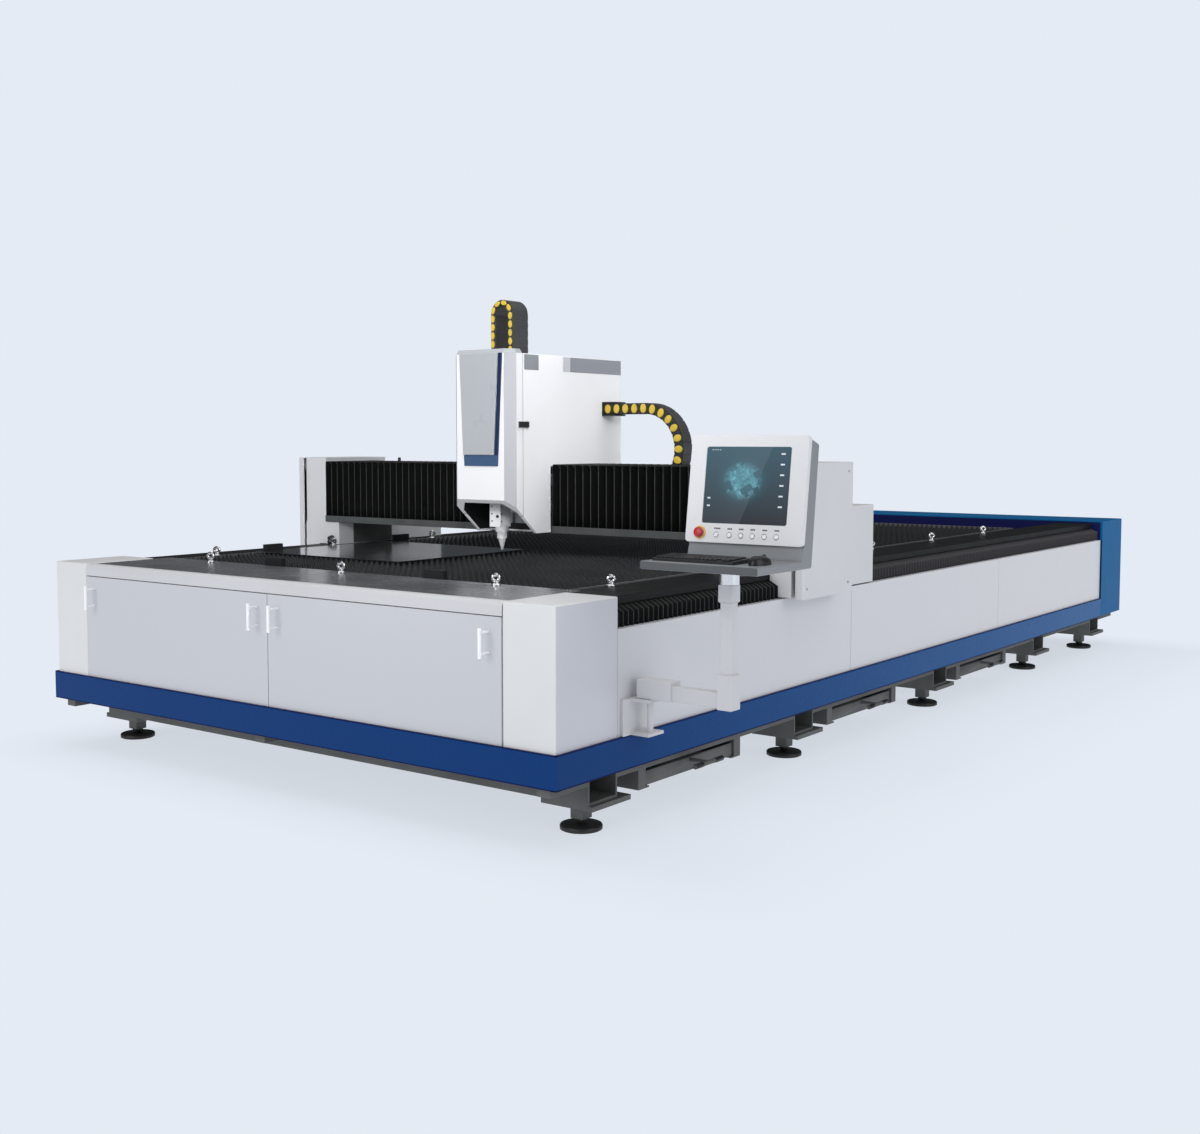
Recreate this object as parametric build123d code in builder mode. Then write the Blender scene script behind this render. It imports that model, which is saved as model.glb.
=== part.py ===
"""Gantry laser cutting machine for sheet metal, 4 m by 2 m working area.

Millimetres. +X is across the bed towards the operator's console, +Y runs from the front end of the
bed to its rear end, +Z is up. The origin is on the floor, at the middle of the whole machine's
outline. The bed is the fixed part. The gantry travels along Y, the head along X on the gantry, and
the cutting head up and down on the head.
"""
from build123d import *
from math import cos, radians, sin, sqrt
import os

os.makedirs("parts", exist_ok=True)

# Driving sizes of the whole machine
bed_width = 3000.0
bed_length = 6440.0
deck_z = 870.0
skirt_bottom_z = 230.0
skirt_top_z = 350.0
gantry_overhang = 90.0
console_reach = 696.0
handle_reach = 42.0
touch_gap = 0.3
running_gap = 4.0

# Where the bed stands, so that the origin is at the middle of the outline
bed_x = -(console_reach - gantry_overhang) / 2
right = bed_x + bed_width / 2
left = bed_x - bed_width / 2
front = -(bed_length - handle_reach) / 2
rear = front + bed_length

# Sheet metal of the casing
skin = 4.0
skirt_wall = 6.0
skirt_ledge = 12.0
post_width = 240.0
post_depth = 366.0
panel_top_z = 750.0
panel_lip = 34.0
panel_count = 3
door_top_z = 816.0
rail_depth = 36.0
edge_round = 10.0
rear_depth = 430.0
rear_top_z = 880.0
face_x = right - skirt_ledge
face_y = front + skirt_ledge
post_back_y = face_y + post_depth
rear_front_y = rear - rear_depth

# Underframe
rail_tube = 60.0
rail_bottom_z = 190.0
rail_top_z = 290.0
tube_wall = 10.0
cross_tube_width = 180.0
cross_tube_bottom_z = 118.0
cross_tube_top_z = 218.0
station_first = 340.0
station_pitch = 1530.0
station_count = 4
last_station = 6030.0
foot_plate_thickness = 20.0
foot_plate_size = 240.0
foot_inset = 150.0
leg_size = 58.0
deck_plate_z = 790.0
front_plate_reach = 94.0
front_plate_lip = 6.0
leg_bottom_z = 42.0
foot_radius = 80.0
foot_thickness = 24.0
stud_radius = 14.0

# Upper beams that carry the Y guides, and the ledge under the table
guide_beam_outer = 110.0
guide_beam_width = 160.0
guide_beam_bottom_z = 480.0
guide_beam_top_z = 700.0
upright_size = 100.0
cross_beam_width = 80.0
cross_beam_depth = 80.0
y_rail_inset = 220.0
y_rail_width = 34.0
y_rail_height = 30.0
rack_width = 20.0
rack_height = 28.0

# Worktable
table_half = 1190.0
table_length = 4686.0
table_rim = 12.0
slat_thickness = 5.0
slat_height = 100.0
slat_pitch = 75.0
tooth_count = 21
tooth_height = 18.0
slat_top_z = deck_z - 1
bearer_height = 60.0
table_bottom_z = slat_top_z - slat_height - bearer_height
cover_top_z = 860.0
cover_outer = 78.0
cover_lip = 32.0
cover_sheet = 6.0
eye_bolt_count = 6
eye_bolt_first = 720.0
eye_bolt_pitch = 775.0
front_eye_pitch = 873.0
front_eye_inset = 54.0
block_length = 110.0
block_height = 36.0
block_width = 26.0
front_block_offset = 493.0
side_block_first = 1050.0
side_block_pitch = 925.0
side_block_count = 4
sheet_width = 1000.0
sheet_length = 920.0
sheet_thickness = 3.0
sheet_front = 925.0

# Bellows
fold_pitch_y = 33.0
fold_pitch_x = 45.0
fold_wall = 5.0
y_bellows_depth = 44.0
x_bellows_depth = 42.0

# Gantry
gantry_front = 1593.0
column_depth = 458.0
column_width = 160.0
column_out = 30.0
column_top_z = 1337.0
foot_width = 262.0
foot_top_z = 983.0
foot_plate_start = 107.0
foot_plate_end = 57.0
arm_inner = 74.0
arm_bottom_z = 757.0
motor_box_depth = 422.0
motor_box_width = 160.0
motor_box_inset = 10.0
motor_box_top_z = 1127.0
cover_width = 44.0
cover_bottom_z = 751.0
beam_front_gap = 67.0
beam_depth = 320.0
beam_bottom_z = 1050.0
beam_top_z = 1300.0
beam_wall = 12.0
tray_bottom_z = 985.0
tray_lip = 34.0
tray_sheet = 4.0
x_rail_size = 24.0
x_rail_stand = 18.0
x_rail_low_z = 1110.0
x_rail_high_z = 1240.0
saddle_bottom_z = 762.0
saddle_top_z = 800.0

# Head carriage
head_x = bed_x + 36.0
head_width = 375.0
head_front = 1280.0
head_seam = 1371.0
head_corner = 41.0
head_knee = 1473.0
head_back_low = 1578.0
head_rear = 2158.0
head_top_z = 1840.0
head_saddle_z = 1310.0
head_bottom_z = 990.0
head_chin_z = 1152.0
head_wall = 4.0
head_lip = 20.0
bellows_top_z = 1318.0
bellows_top_fold = 12.0
nozzle_forward = 156.0
nozzle_tip_z = 905.0

# Cable chains
chain_height = 54.0
x_chain_width = 84.0
x_chain_y = 2000.0
x_chain_top_z = 1590.0
x_chain_radius = 200.0
x_chain_run = 179.5
z_chain_height = 29.0
z_chain_width = 120.0
z_chain_y = 1439.0
z_chain_top_z = 2104.0
z_chain_radius = 54.0
chain_box_half = 35.0

# Front drawers
drawer_gap = 3.0
front_drawer_depth = 900.0
front_drawer_wall = 3.0
front_tray_top_z = 620.0
bar_handle_length = 108.0
bar_handle_radius = 7.0
bar_handle_z = 720.0
bar_handle_inset = 60.0

# Scrap drawers under the bed
scrap_drawer_width = 640.0
scrap_drawer_length = 1300.0
scrap_drawer_height = 56.0
scrap_drawer_offset = 600.0
scrap_drawer_count = 3
runner_width = 50.0
runner_bottom_z = 112.0
runner_shelf = 6.0
t_bar_length = 206.0
t_bar_radius = 9.0

# Console
console_y = 490.0
console_post_x = 390.0
pivot_x = 55.0
bracket_bottom_z = 345.0
bracket_top_z = 490.0
arm_height = 55.0
arm_width = 45.0
post_size = 46.0
post_block = 62.0
post_block_top_z = 612.0
post_top_z = 930.0
sleeve_bottom_z = 867.0
collar_radius = 36.0
tray_top_z = 1028.0
tray_thickness = 28.0
tray_front = 163.0
lean = 7.5
bezel_width = 466.0
bezel_height = 378.0
bezel_thickness = 20.0
bezel_bottom_z = 1078.0
bezel_front = 450.0
screen_width = 338.0
screen_height = 270.0
screen_bottom = 68.0
button_radius = 8.0
button_travel = 3.0
button_row = 28.0
button_offsets = (127.0, 181.0, 227.0, 273.0, 320.0, 367.0)
stop_offset = 60.0
stop_radius = 18.0
stop_travel = 5.0


def block(x, y, z, mode=Mode.ADD):
    """A straight-sided block between three pairs of limits."""
    with Locations(((x[0] + x[1]) / 2, (y[0] + y[1]) / 2, (z[0] + z[1]) / 2)):
        return Box(abs(x[1] - x[0]), abs(y[1] - y[0]), abs(z[1] - z[0]), mode=mode)


def rod(radius, centre, length, axis="Z", mode=Mode.ADD):
    """A round bar about its centre, along X, Y or Z."""
    turn = {"X": (0, 90, 0), "Y": (90, 0, 0), "Z": (0, 0, 0)}[axis]
    with Locations(Location(centre, turn)):
        return Cylinder(radius, length, mode=mode)


def save(part, label):
    """Names a finished piece and writes it."""
    part.label = label
    export_step(part, f"parts/{label}.step")


def both(low, high):
    """The same band of X, measured inwards from the bed's two long sides."""
    return [(right - high, right - low), (left + low, left + high)]


def folds(start, end, pitch, base, depth):
    """The zigzag outline of a bellows as points along u, with its folds standing out in v."""
    count = max(2, round((end - start) / pitch))
    step = (end - start) / count
    near = [(start + step * i / 2, base + (depth if i % 2 else 0)) for i in range(2 * count + 1)]
    far = [(u, v - fold_wall if depth > 0 else v + fold_wall) for u, v in reversed(near)]
    return near + far


stations = [front + station_first + station_pitch * i for i in range(station_count)]
stations.append(front + last_station)
drawer_centres = [stations[i] + scrap_drawer_offset for i in range(scrap_drawer_count)]
column_front_y = front + gantry_front
column_back_y = column_front_y + column_depth
motor_box_back_y = column_back_y + motor_box_depth
plate_back_y = post_back_y + front_plate_reach
table_front_y = plate_back_y + 1
table_back_y = table_front_y + table_length

# Front drawers: where each bay, its tray and its two runners lie
rail_x = (left + skirt_ledge + post_width, right - skirt_ledge - post_width)
bays = {"left": (rail_x[0] + drawer_gap, bed_x - drawer_gap / 2),
        "right": (bed_x + drawer_gap / 2, rail_x[1] - drawer_gap)}
tray_side = 68.0
runner_inset = 30.0
runner_top_z = skirt_top_z + 30 - touch_gap
runner_places = [x for bay in bays.values()
                 for x in (bay[0] + tray_side + runner_inset, bay[1] - tray_side - runner_inset)]

# Bed frame: a welded frame of tubes on five rows of feet
with BuildPart() as bed_frame:
    for side in both(rail_tube - 10, 2 * rail_tube - 10):
        block(side, (front + 30, rear - 30), (rail_bottom_z, rail_top_z))
    centre_rail_x = (bed_x - 110, bed_x - 50)
    block(centre_rail_x, (front + 30, rear - 30), (rail_bottom_z, rail_top_z))
    for y in stations:
        cross_y = (y - cross_tube_width / 2, y + cross_tube_width / 2)
        block((left + 50, right - 50), cross_y, (cross_tube_bottom_z, cross_tube_top_z))
        for low, high in both(foot_inset - foot_plate_size / 2, foot_inset + foot_plate_size / 2):
            plate_z = (cross_tube_bottom_z - foot_plate_thickness, cross_tube_bottom_z)
            plate_y = (y - cross_tube_width / 2, y + foot_plate_size - cross_tube_width / 2)
            block((low, high), plate_y, plate_z)
            middle = (low + high) / 2
            leg_x = (middle - leg_size / 2, middle + leg_size / 2)
            block(leg_x, (y - leg_size / 2, y + leg_size / 2), (leg_bottom_z, plate_z[0]))
        for low, high in both(guide_beam_outer, guide_beam_outer + upright_size):
            upright_y = (y - upright_size / 2, y + upright_size / 2)
            block((low, high), upright_y, (cross_tube_top_z, guide_beam_bottom_z))
    for side in both(guide_beam_outer, guide_beam_outer + guide_beam_width):
        beam_y = (post_back_y + 20, rear_front_y - 20)
        block(side, beam_y, (guide_beam_bottom_z, guide_beam_top_z))
    beam_reach = bed_width / 2 - guide_beam_outer - guide_beam_width
    for y in [plate_back_y] + stations[1:4]:
        block((bed_x - beam_reach, bed_x + beam_reach),
              (y - cross_beam_width / 2, y + cross_beam_width / 2),
              (table_bottom_z - cross_beam_depth, table_bottom_z))
    back_tie_y = (face_y + front_drawer_depth, face_y + front_drawer_depth + 40)
    block((left + 60, right - 60), back_tie_y, (rail_bottom_z, rail_top_z))
    for x in runner_places:
        runner_x = (x - 15, x + 15)
        block(runner_x, (face_y + 50, back_tie_y[1]), (runner_top_z - 30, runner_top_z))
        block(runner_x, back_tie_y, (rail_top_z, runner_top_z - 30))
        block(runner_x, (stations[0] - 40, stations[0] + 40),
              (cross_tube_top_z, runner_top_z - 30))
    for y in stations:
        bore_y = (y - cross_tube_width / 2 + tube_wall, y + cross_tube_width / 2 - tube_wall)
        bore_z = (cross_tube_bottom_z + tube_wall, cross_tube_top_z - tube_wall)
        block((left + 49, right - 49), bore_y, bore_z, mode=Mode.SUBTRACT)
    for low, high in both(guide_beam_outer + tube_wall, guide_beam_outer + guide_beam_width - tube_wall):
        beam_y = (post_back_y, rear_front_y)
        beam_z = (guide_beam_bottom_z + tube_wall, guide_beam_top_z - tube_wall)
        block((low, high), beam_y, beam_z, mode=Mode.SUBTRACT)
    for y in drawer_centres:
        for way in (-1, 1):
            runner_y = y + way * (scrap_drawer_width / 2 + runner_width / 2 + running_gap)
            block((centre_rail_x[0], right - 50),
                  (runner_y - runner_width / 2, runner_y + runner_width / 2),
                  (runner_bottom_z, rail_bottom_z))
            shelf_y = y + way * (scrap_drawer_width / 2 - 10 + running_gap)
            block((centre_rail_x[0], right - 50), (shelf_y - 14, shelf_y + 14),
                  (runner_bottom_z, runner_bottom_z + runner_shelf))
save(bed_frame.part, "bed_frame")

# Levelling feet: a round pad and a stud under each leg
with BuildPart() as levelling_feet:
    for y in stations:
        for low, high in both(foot_inset, foot_inset):
            rod(foot_radius, (low, y, foot_thickness / 2), foot_thickness)
            stud_length = leg_bottom_z - foot_thickness
            rod(stud_radius, (low, y, foot_thickness + stud_length / 2), stud_length)
save(levelling_feet.part, "levelling_feet")

# Skirt: a folded blue band round the front and both sides, with a ledge at its top
with BuildPart() as skirt:
    block((left, right), (front, rear_front_y), (skirt_bottom_z, skirt_top_z))
    block((left + skirt_wall, right - skirt_wall), (front + skirt_wall, rear),
          (skirt_bottom_z, skirt_top_z - skirt_wall), mode=Mode.SUBTRACT)
    block((left + 50, right - 50), (front + 50, rear), (skirt_bottom_z, skirt_top_z),
          mode=Mode.SUBTRACT)
save(skirt.part, "skirt")

# Rear end panel: the blue box across the far end
with BuildPart() as rear_end_panel:
    block((left, right), (rear_front_y, rear), (skirt_bottom_z, rear_top_z))
    block((left + skin, right - skin), (rear_front_y + skin, rear - skin),
          (skirt_bottom_z, rear_top_z - skin), mode=Mode.SUBTRACT)
    slot_y = (rear_front_y, rear_front_y + skin)
    block((left + skin, right - skin), slot_y, (skirt_bottom_z, panel_top_z), mode=Mode.SUBTRACT)
save(rear_end_panel.part, "rear_end_panel")

# Corner posts: folded casings at the two front corners
with BuildPart() as corner_posts:
    for low, high in both(skirt_ledge, skirt_ledge + post_width):
        block((low, high), (face_y, post_back_y), (skirt_top_z, deck_z))
    upright_edges = corner_posts.edges().filter_by(Axis.Z).group_by(Axis.Y)[0]
    fillet(upright_edges, edge_round)
    fillet(corner_posts.faces().sort_by(Axis.Z).filter_by(Axis.Z).group_by(Axis.Z)[-1].edges(),
           edge_round / 2)
    for low, high in both(skirt_ledge + skin, skirt_ledge + post_width - skin):
        block((low, high), (face_y + skin, post_back_y - skin), (skirt_top_z, deck_z - skin),
              mode=Mode.SUBTRACT)
        block((low, high), (face_y + skin, post_back_y + 1), (skirt_top_z, guide_beam_top_z),
              mode=Mode.SUBTRACT)
save(corner_posts.part, "corner_posts")

# Front top rail: the rounded lip over the two front drawers
with BuildPart() as front_top_rail:
    block(rail_x, (face_y, face_y + rail_depth), (door_top_z, deck_z))
    top_edges = front_top_rail.edges().filter_by(Axis.X).group_by(Axis.Z)[-1]
    fillet(top_edges.sort_by(Axis.Y)[0], edge_round * 2)
    block(rail_x, (face_y + skin, face_y + rail_depth - skin), (door_top_z, deck_z - edge_round * 2),
          mode=Mode.SUBTRACT)
save(front_top_rail.part, "front_top_rail")

# Front top plate: the dark polished plate between the lip and the table
with BuildPart() as front_top_plate:
    plate_y = (face_y + rail_depth, plate_back_y)
    block(rail_x, plate_y, (deck_z - 8, deck_z - 2))
    block((bed_x - table_half, bed_x + table_half), (plate_back_y - front_plate_lip, plate_back_y),
          (deck_z - 60, deck_z - 8))
save(front_top_plate.part, "front_top_plate")

# Side panels: three on each long side, each folded in at its top
with BuildPart() as side_panels:
    panel_length = (rear_front_y - post_back_y) / panel_count
    for i in range(panel_count):
        panel_y = (post_back_y + panel_length * i + 1, post_back_y + panel_length * (i + 1) - 1)
        for low, high in both(skirt_ledge, skirt_ledge + skin):
            block((low, high), panel_y, (skirt_top_z, panel_top_z))
        for low, high in both(skirt_ledge, skirt_ledge + panel_lip):
            block((low, high), panel_y, (panel_top_z - skin, panel_top_z))
save(side_panels.part, "side_panels")

# Guide covers: the fixed dark plates over the Y guides, and the deck plate behind the table
with BuildPart() as guide_covers:
    cover_y = (post_back_y, rear_front_y)
    inner_edge = bed_width / 2 - table_half
    for low, high in both(cover_outer, inner_edge - 1):
        block((low, high), cover_y, (cover_top_z - cover_sheet, cover_top_z))
    for low, high in both(cover_outer, cover_outer + skin):
        block((low, high), cover_y, (cover_top_z - cover_lip, cover_top_z))
    for low, high in both(guide_beam_outer + guide_beam_width - skin, guide_beam_outer + guide_beam_width):
        block((low, high), (post_back_y + 20, rear_front_y - 20), (guide_beam_top_z, cover_top_z))
    web_inset = guide_beam_outer + guide_beam_width
    block((left + web_inset, right - web_inset), (table_back_y, rear_front_y),
          (deck_plate_z, deck_plate_z + cover_sheet))
save(guide_covers.part, "guide_covers")

# Y guides: a hardened rail and a rack along each upper beam
with BuildPart() as y_guide_rails:
    guide_y = (post_back_y + 40, rear_front_y - 40)
    for low, high in both(y_rail_inset - y_rail_width, y_rail_inset):
        block((low, high), guide_y, (guide_beam_top_z, guide_beam_top_z + y_rail_height))
    for low, high in both(guide_beam_outer - rack_width, guide_beam_outer):
        block((low, high), guide_y, (guide_beam_top_z - rack_height, guide_beam_top_z))
save(y_guide_rails.part, "y_guide_rails")

# Table frame: a rim of flat bar over lengthwise bearers
with BuildPart() as table_frame:
    table_x = (bed_x - table_half, bed_x + table_half)
    block(table_x, (table_front_y, table_back_y), (table_bottom_z, slat_top_z - 3))
    block((table_x[0] + table_rim, table_x[1] - table_rim),
          (table_front_y + table_rim, table_back_y - table_rim),
          (table_bottom_z, slat_top_z), mode=Mode.SUBTRACT)
    for offset in (-0.75, -0.25, 0.25, 0.75):
        bearer_x = bed_x + table_half * offset
        block((bearer_x - 8, bearer_x + 8), (table_front_y + 1, table_back_y - 1),
              (table_bottom_z, table_bottom_z + bearer_height))
save(table_frame.part, "table_frame")

# Support slats: upright strips across the table, with pointed tops
slat_span = 2 * (table_half - table_rim) - 2
slat_count = int((table_length - 2 * table_rim - slat_pitch) / slat_pitch) + 1
first_slat_y = table_front_y + (table_length - slat_pitch * (slat_count - 1)) / 2
slat_bottom_z = slat_top_z - slat_height
slat_planes = [Plane.XZ.offset(-(first_slat_y + slat_pitch * i - slat_thickness / 2))
               for i in range(slat_count)]
with BuildPart() as support_slats:
    with BuildSketch(*slat_planes):
        with BuildLine():
            tooth = slat_span / tooth_count
            start_x = bed_x - slat_span / 2
            tips = [(start_x + tooth * (k + 0.5), slat_top_z) for k in range(tooth_count)]
            roots = [(start_x + tooth * k, slat_top_z - tooth_height)
                     for k in range(1, tooth_count)]
            saw = [point for pair in zip(tips, roots) for point in pair] + [tips[-1]]
            Polyline((start_x, slat_bottom_z), (start_x, slat_top_z - tooth_height), *saw,
                     (start_x + slat_span, slat_top_z - tooth_height),
                     (start_x + slat_span, slat_bottom_z), close=True)
        make_face()
    extrude(amount=-slat_thickness)
save(support_slats.part, "support_slats")


def eye_bolt(x, y, z):
    """A lifting eye on a round collar, standing on a plate."""
    rod(15, (x, y, z + 4), 8)
    rod(7, (x, y, z + 12), 12)
    with Locations(Location((x, y, z + 28), (90, 0, 30))):
        Torus(13, 5)


# Lifting eyes along the front plate and both guide covers
with BuildPart() as eye_bolts:
    for i in (-1, 0, 1):
        eye_bolt(bed_x + front_eye_pitch * i, plate_back_y - front_eye_inset, deck_z - 2)
    for i in range(eye_bolt_count):
        for low, high in both(inner_edge - 20, inner_edge - 20):
            eye_bolt(low, front + eye_bolt_first + eye_bolt_pitch * i, cover_top_z)
save(eye_bolts.part, "eye_bolts")

# Stop blocks: black blocks that locate a sheet against the front and left edges
with BuildPart() as stop_blocks:
    rim_top_z = slat_top_z - 3
    for way in (-1, 1):
        x = bed_x + way * front_block_offset
        block((x - block_length / 2, x + block_length / 2),
              (plate_back_y - front_plate_lip, plate_back_y - front_plate_lip + block_width),
              (deck_z - 2, deck_z - 2 + block_height))
    for i in range(side_block_count):
        y = front + side_block_first + side_block_pitch * i
        block((table_x[0], table_x[0] + block_width), (y - block_length / 2, y + block_length / 2),
              (rim_top_z, rim_top_z + block_height))
    block((table_x[0] + table_rim + touch_gap, table_x[1]), (table_front_y, rear),
          (rim_top_z, slat_top_z + touch_gap),
          mode=Mode.SUBTRACT)
save(stop_blocks.part, "stop_blocks")

# Work sheet: the flat sheet that lies on the slats
with BuildPart() as work_sheet:
    sheet_x = table_x[0] + block_width + 4
    block((sheet_x, sheet_x + sheet_width),
          (front + sheet_front, front + sheet_front + sheet_length),
          (slat_top_z, slat_top_z + sheet_thickness))
save(work_sheet.part, "work_sheet")


# Y bellows: folded covers along both long sides, ahead of the gantry and behind it
bellows_spans = {"front": (post_back_y + touch_gap, column_front_y - touch_gap),
                 "rear": (motor_box_back_y + touch_gap, rear_front_y - touch_gap)}
for name, (start, end) in bellows_spans.items():
    outline = folds(start, end, fold_pitch_y, 0, y_bellows_depth)
    with BuildPart() as y_bellows:
        for way, base in ((1, right - cover_outer + 1), (-1, left + cover_outer - 1)):
            with BuildSketch(Plane.XY.offset(panel_top_z + touch_gap)):
                with BuildLine():
                    Polyline(*[(base + way * v, u) for u, v in outline], close=True)
                make_face()
            extrude(amount=cover_top_z - cover_lip - panel_top_z - 2 * touch_gap)
    save(y_bellows.part, f"y_bellows_{name}")

# Wall bracket: a channel on the side panel, with the pin that the console arm turns on
pivot = (right + pivot_x, front + console_y)
pin_radius = 12.0
with BuildPart() as wall_bracket:
    bracket_y = (pivot[1] - 95, pivot[1] + 95)
    bracket_z = (bracket_bottom_z + 8, bracket_top_z)
    block((face_x, face_x + 14), bracket_y, bracket_z)
    for z in (bracket_z[0], bracket_z[1] - 12):
        block((face_x, pivot[0] + 28), (pivot[1] - 50, pivot[1] + 50), (z, z + 12))
    pin_z = (bracket_z[0], bracket_top_z + arm_height + 8)
    rod(pin_radius, (pivot[0], pivot[1], sum(pin_z) / 2), pin_z[1] - pin_z[0])
save(wall_bracket.part, "wall_bracket")

# Gantry beam: a welded box between the two columns
beam_x = (left - column_out + column_width, right + column_out - column_width)
beam_front_y = column_front_y + beam_front_gap
with BuildPart() as gantry_beam:
    beam_y = (beam_front_y, beam_front_y + beam_depth)
    block(beam_x, beam_y, (beam_bottom_z, beam_top_z))
    block(beam_x, (beam_y[0] + beam_wall, beam_y[1] - beam_wall),
          (beam_bottom_z + beam_wall, beam_top_z - beam_wall), mode=Mode.SUBTRACT)
save(gantry_beam.part, "gantry_beam")

# Y drives: where each pinion stands beside its rack
pinion_radius = 30.0
shaft_radius = 10.0
drive_inset = guide_beam_outer - rack_width - pinion_radius - touch_gap

# Gantry legs: a column, a foot over the cover, an outer arm and a saddle over each Y guide
with BuildPart() as gantry_legs:
    for low, high in both(-column_out, column_width - column_out):
        block((low, high), (column_front_y, column_back_y), (foot_top_z, column_top_z))
    tall_edges = gantry_legs.edges().filter_by(Axis.Z).group_by(Axis.Y)[0]
    fillet(tall_edges, edge_round)
    for low, high in both(-column_out, foot_width - column_out):
        block((low, high), (column_front_y, column_back_y), (cover_top_z + running_gap, foot_top_z))
    for low, high in both(-column_out, arm_inner):
        block((low, high), (column_front_y, column_back_y), (arm_bottom_z, foot_top_z))
    for low, high in both(motor_box_inset, motor_box_inset + motor_box_width):
        block((low, high), (column_back_y, motor_box_back_y),
              (cover_top_z + running_gap, motor_box_top_z))
        block((low + skin, high - skin), (column_back_y + skin, motor_box_back_y - skin),
              (cover_top_z + running_gap, motor_box_top_z - skin), mode=Mode.SUBTRACT)
    for low, high in both(motor_box_inset, arm_inner):
        block((low, high), (column_back_y, motor_box_back_y), (arm_bottom_z, cover_top_z + 20))
    for low, high in both(arm_inner - 1, y_rail_inset + 20):
        block((low, high), (column_front_y + 30, motor_box_back_y - 30),
              (saddle_bottom_z, saddle_top_z))
    drive_y = motor_box_back_y - 140
    for low, high in both(drive_inset, drive_inset):
        rod(shaft_radius + touch_gap, (low, drive_y, 820), 160, mode=Mode.SUBTRACT)
        block((low - 47, low + 47), (drive_y - 47, drive_y + 47),
              (cover_top_z + running_gap + 2, motor_box_top_z - skin), mode=Mode.SUBTRACT)
save(gantry_legs.part, "gantry_legs")

# Gantry end covers: shallow white covers outside the columns, held off on four spacers each
with BuildPart() as gantry_end_covers:
    for way, edge in ((1, right), (-1, left)):
        outer = edge + way * gantry_overhang
        inner = outer - way * cover_width
        block((inner, outer), (column_front_y, column_back_y), (cover_bottom_z, column_top_z))
    fillet(gantry_end_covers.edges().filter_by(Axis.Z).group_by(Axis.Y)[0], edge_round)
    for way, edge in ((1, right), (-1, left)):
        outer = edge + way * (gantry_overhang - skin)
        inner = edge + way * column_out
        block((inner, outer), (column_front_y + skin, column_back_y - skin),
              (cover_bottom_z + skin, column_top_z - skin), mode=Mode.SUBTRACT)
        for y in (column_front_y + 60, column_back_y - 60):
            for z in (cover_bottom_z + 60, column_top_z - 60):
                rod(8, ((inner + outer) / 2, y, z), abs(outer - inner), "X")
save(gantry_end_covers.part, "gantry_end_covers")

# Gantry trays: the lip under the front bellows, the tray behind the beam for the cable chain, and
# a dark plate on the inner face of each foot
x_chain_low_z = x_chain_top_z - 2 * x_chain_radius
with BuildPart() as gantry_trays:
    lip_y = column_front_y - 6
    block(beam_x, (lip_y, beam_front_y + 40), (tray_bottom_z, tray_bottom_z + tray_sheet))
    block(beam_x, (lip_y, lip_y + tray_sheet), (tray_bottom_z, tray_bottom_z + tray_lip))
    block(beam_x, (beam_front_y + 8, beam_front_y + 8 + tray_sheet), (tray_bottom_z, beam_bottom_z))
    chain_tray_z = x_chain_low_z - chain_height / 2 - touch_gap
    tray_back_y = front + x_chain_y + x_chain_width + 8
    block((bed_x - 60, beam_x[1]), (beam_y[1], tray_back_y), (chain_tray_z - tray_sheet, chain_tray_z))
    block((bed_x - 60, beam_x[1]), (tray_back_y - tray_sheet, tray_back_y),
          (chain_tray_z - tray_sheet, chain_tray_z + 20))
    foot_inner = foot_width - column_out
    for low, high in both(foot_inner, foot_inner + tray_sheet):
        block((low, high), (column_front_y + foot_plate_start, column_back_y - foot_plate_end),
              (cover_top_z + running_gap + 3, foot_top_z - 3))
save(gantry_trays.part, "gantry_trays")

# X guides: two rails on the front of the beam
with BuildPart() as x_guide_rails:
    for z in (x_rail_low_z, x_rail_high_z):
        block((beam_x[0] + 20, beam_x[1] - 20), (beam_front_y - x_rail_stand, beam_front_y),
              (z - x_rail_size / 2, z + x_rail_size / 2))
save(x_guide_rails.part, "x_guide_rails")

head_side = head_width / 2


# X bellows: a folded cover in front of and over the beam, on each side of the head
bellows_spans = {"left": (beam_x[0] + touch_gap, head_x - head_side - touch_gap),
                 "right": (head_x + head_side + touch_gap, beam_x[1] - touch_gap)}
bellows_bottom_z = tray_bottom_z + tray_sheet + touch_gap
for name, (start, end) in bellows_spans.items():
    with BuildPart() as x_bellows:
        with BuildSketch(Plane.XY.offset(bellows_bottom_z)):
            with BuildLine():
                Polyline(*folds(start, end, fold_pitch_x, column_front_y + x_bellows_depth,
                                -x_bellows_depth), close=True)
            make_face()
        extrude(amount=bellows_top_z - 12 - bellows_bottom_z)
        with BuildSketch(Plane.XZ.offset(-(column_front_y + 6))):
            with BuildLine():
                Polyline(*folds(start, end, fold_pitch_x, bellows_top_z - bellows_top_fold,
                                bellows_top_fold), close=True)
            make_face()
        extrude(amount=-(beam_depth + 60))
    save(x_bellows.part, f"x_bellows_{name}")

# Y carriages: two blocks on each side that run on the Y rails
with BuildPart() as y_carriages:
    for low, high in both(y_rail_inset - y_rail_width - 14, y_rail_inset + 14):
        for y in (column_front_y + 60, motor_box_back_y - 180):
            block((low, high), (y, y + 120), (guide_beam_top_z + 8, saddle_bottom_z))
    for low, high in both(y_rail_inset - y_rail_width - touch_gap, y_rail_inset + touch_gap):
        block((low, high), (front, rear), (guide_beam_top_z, guide_beam_top_z + y_rail_height + touch_gap),
              mode=Mode.SUBTRACT)
save(y_carriages.part, "y_carriages")

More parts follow.
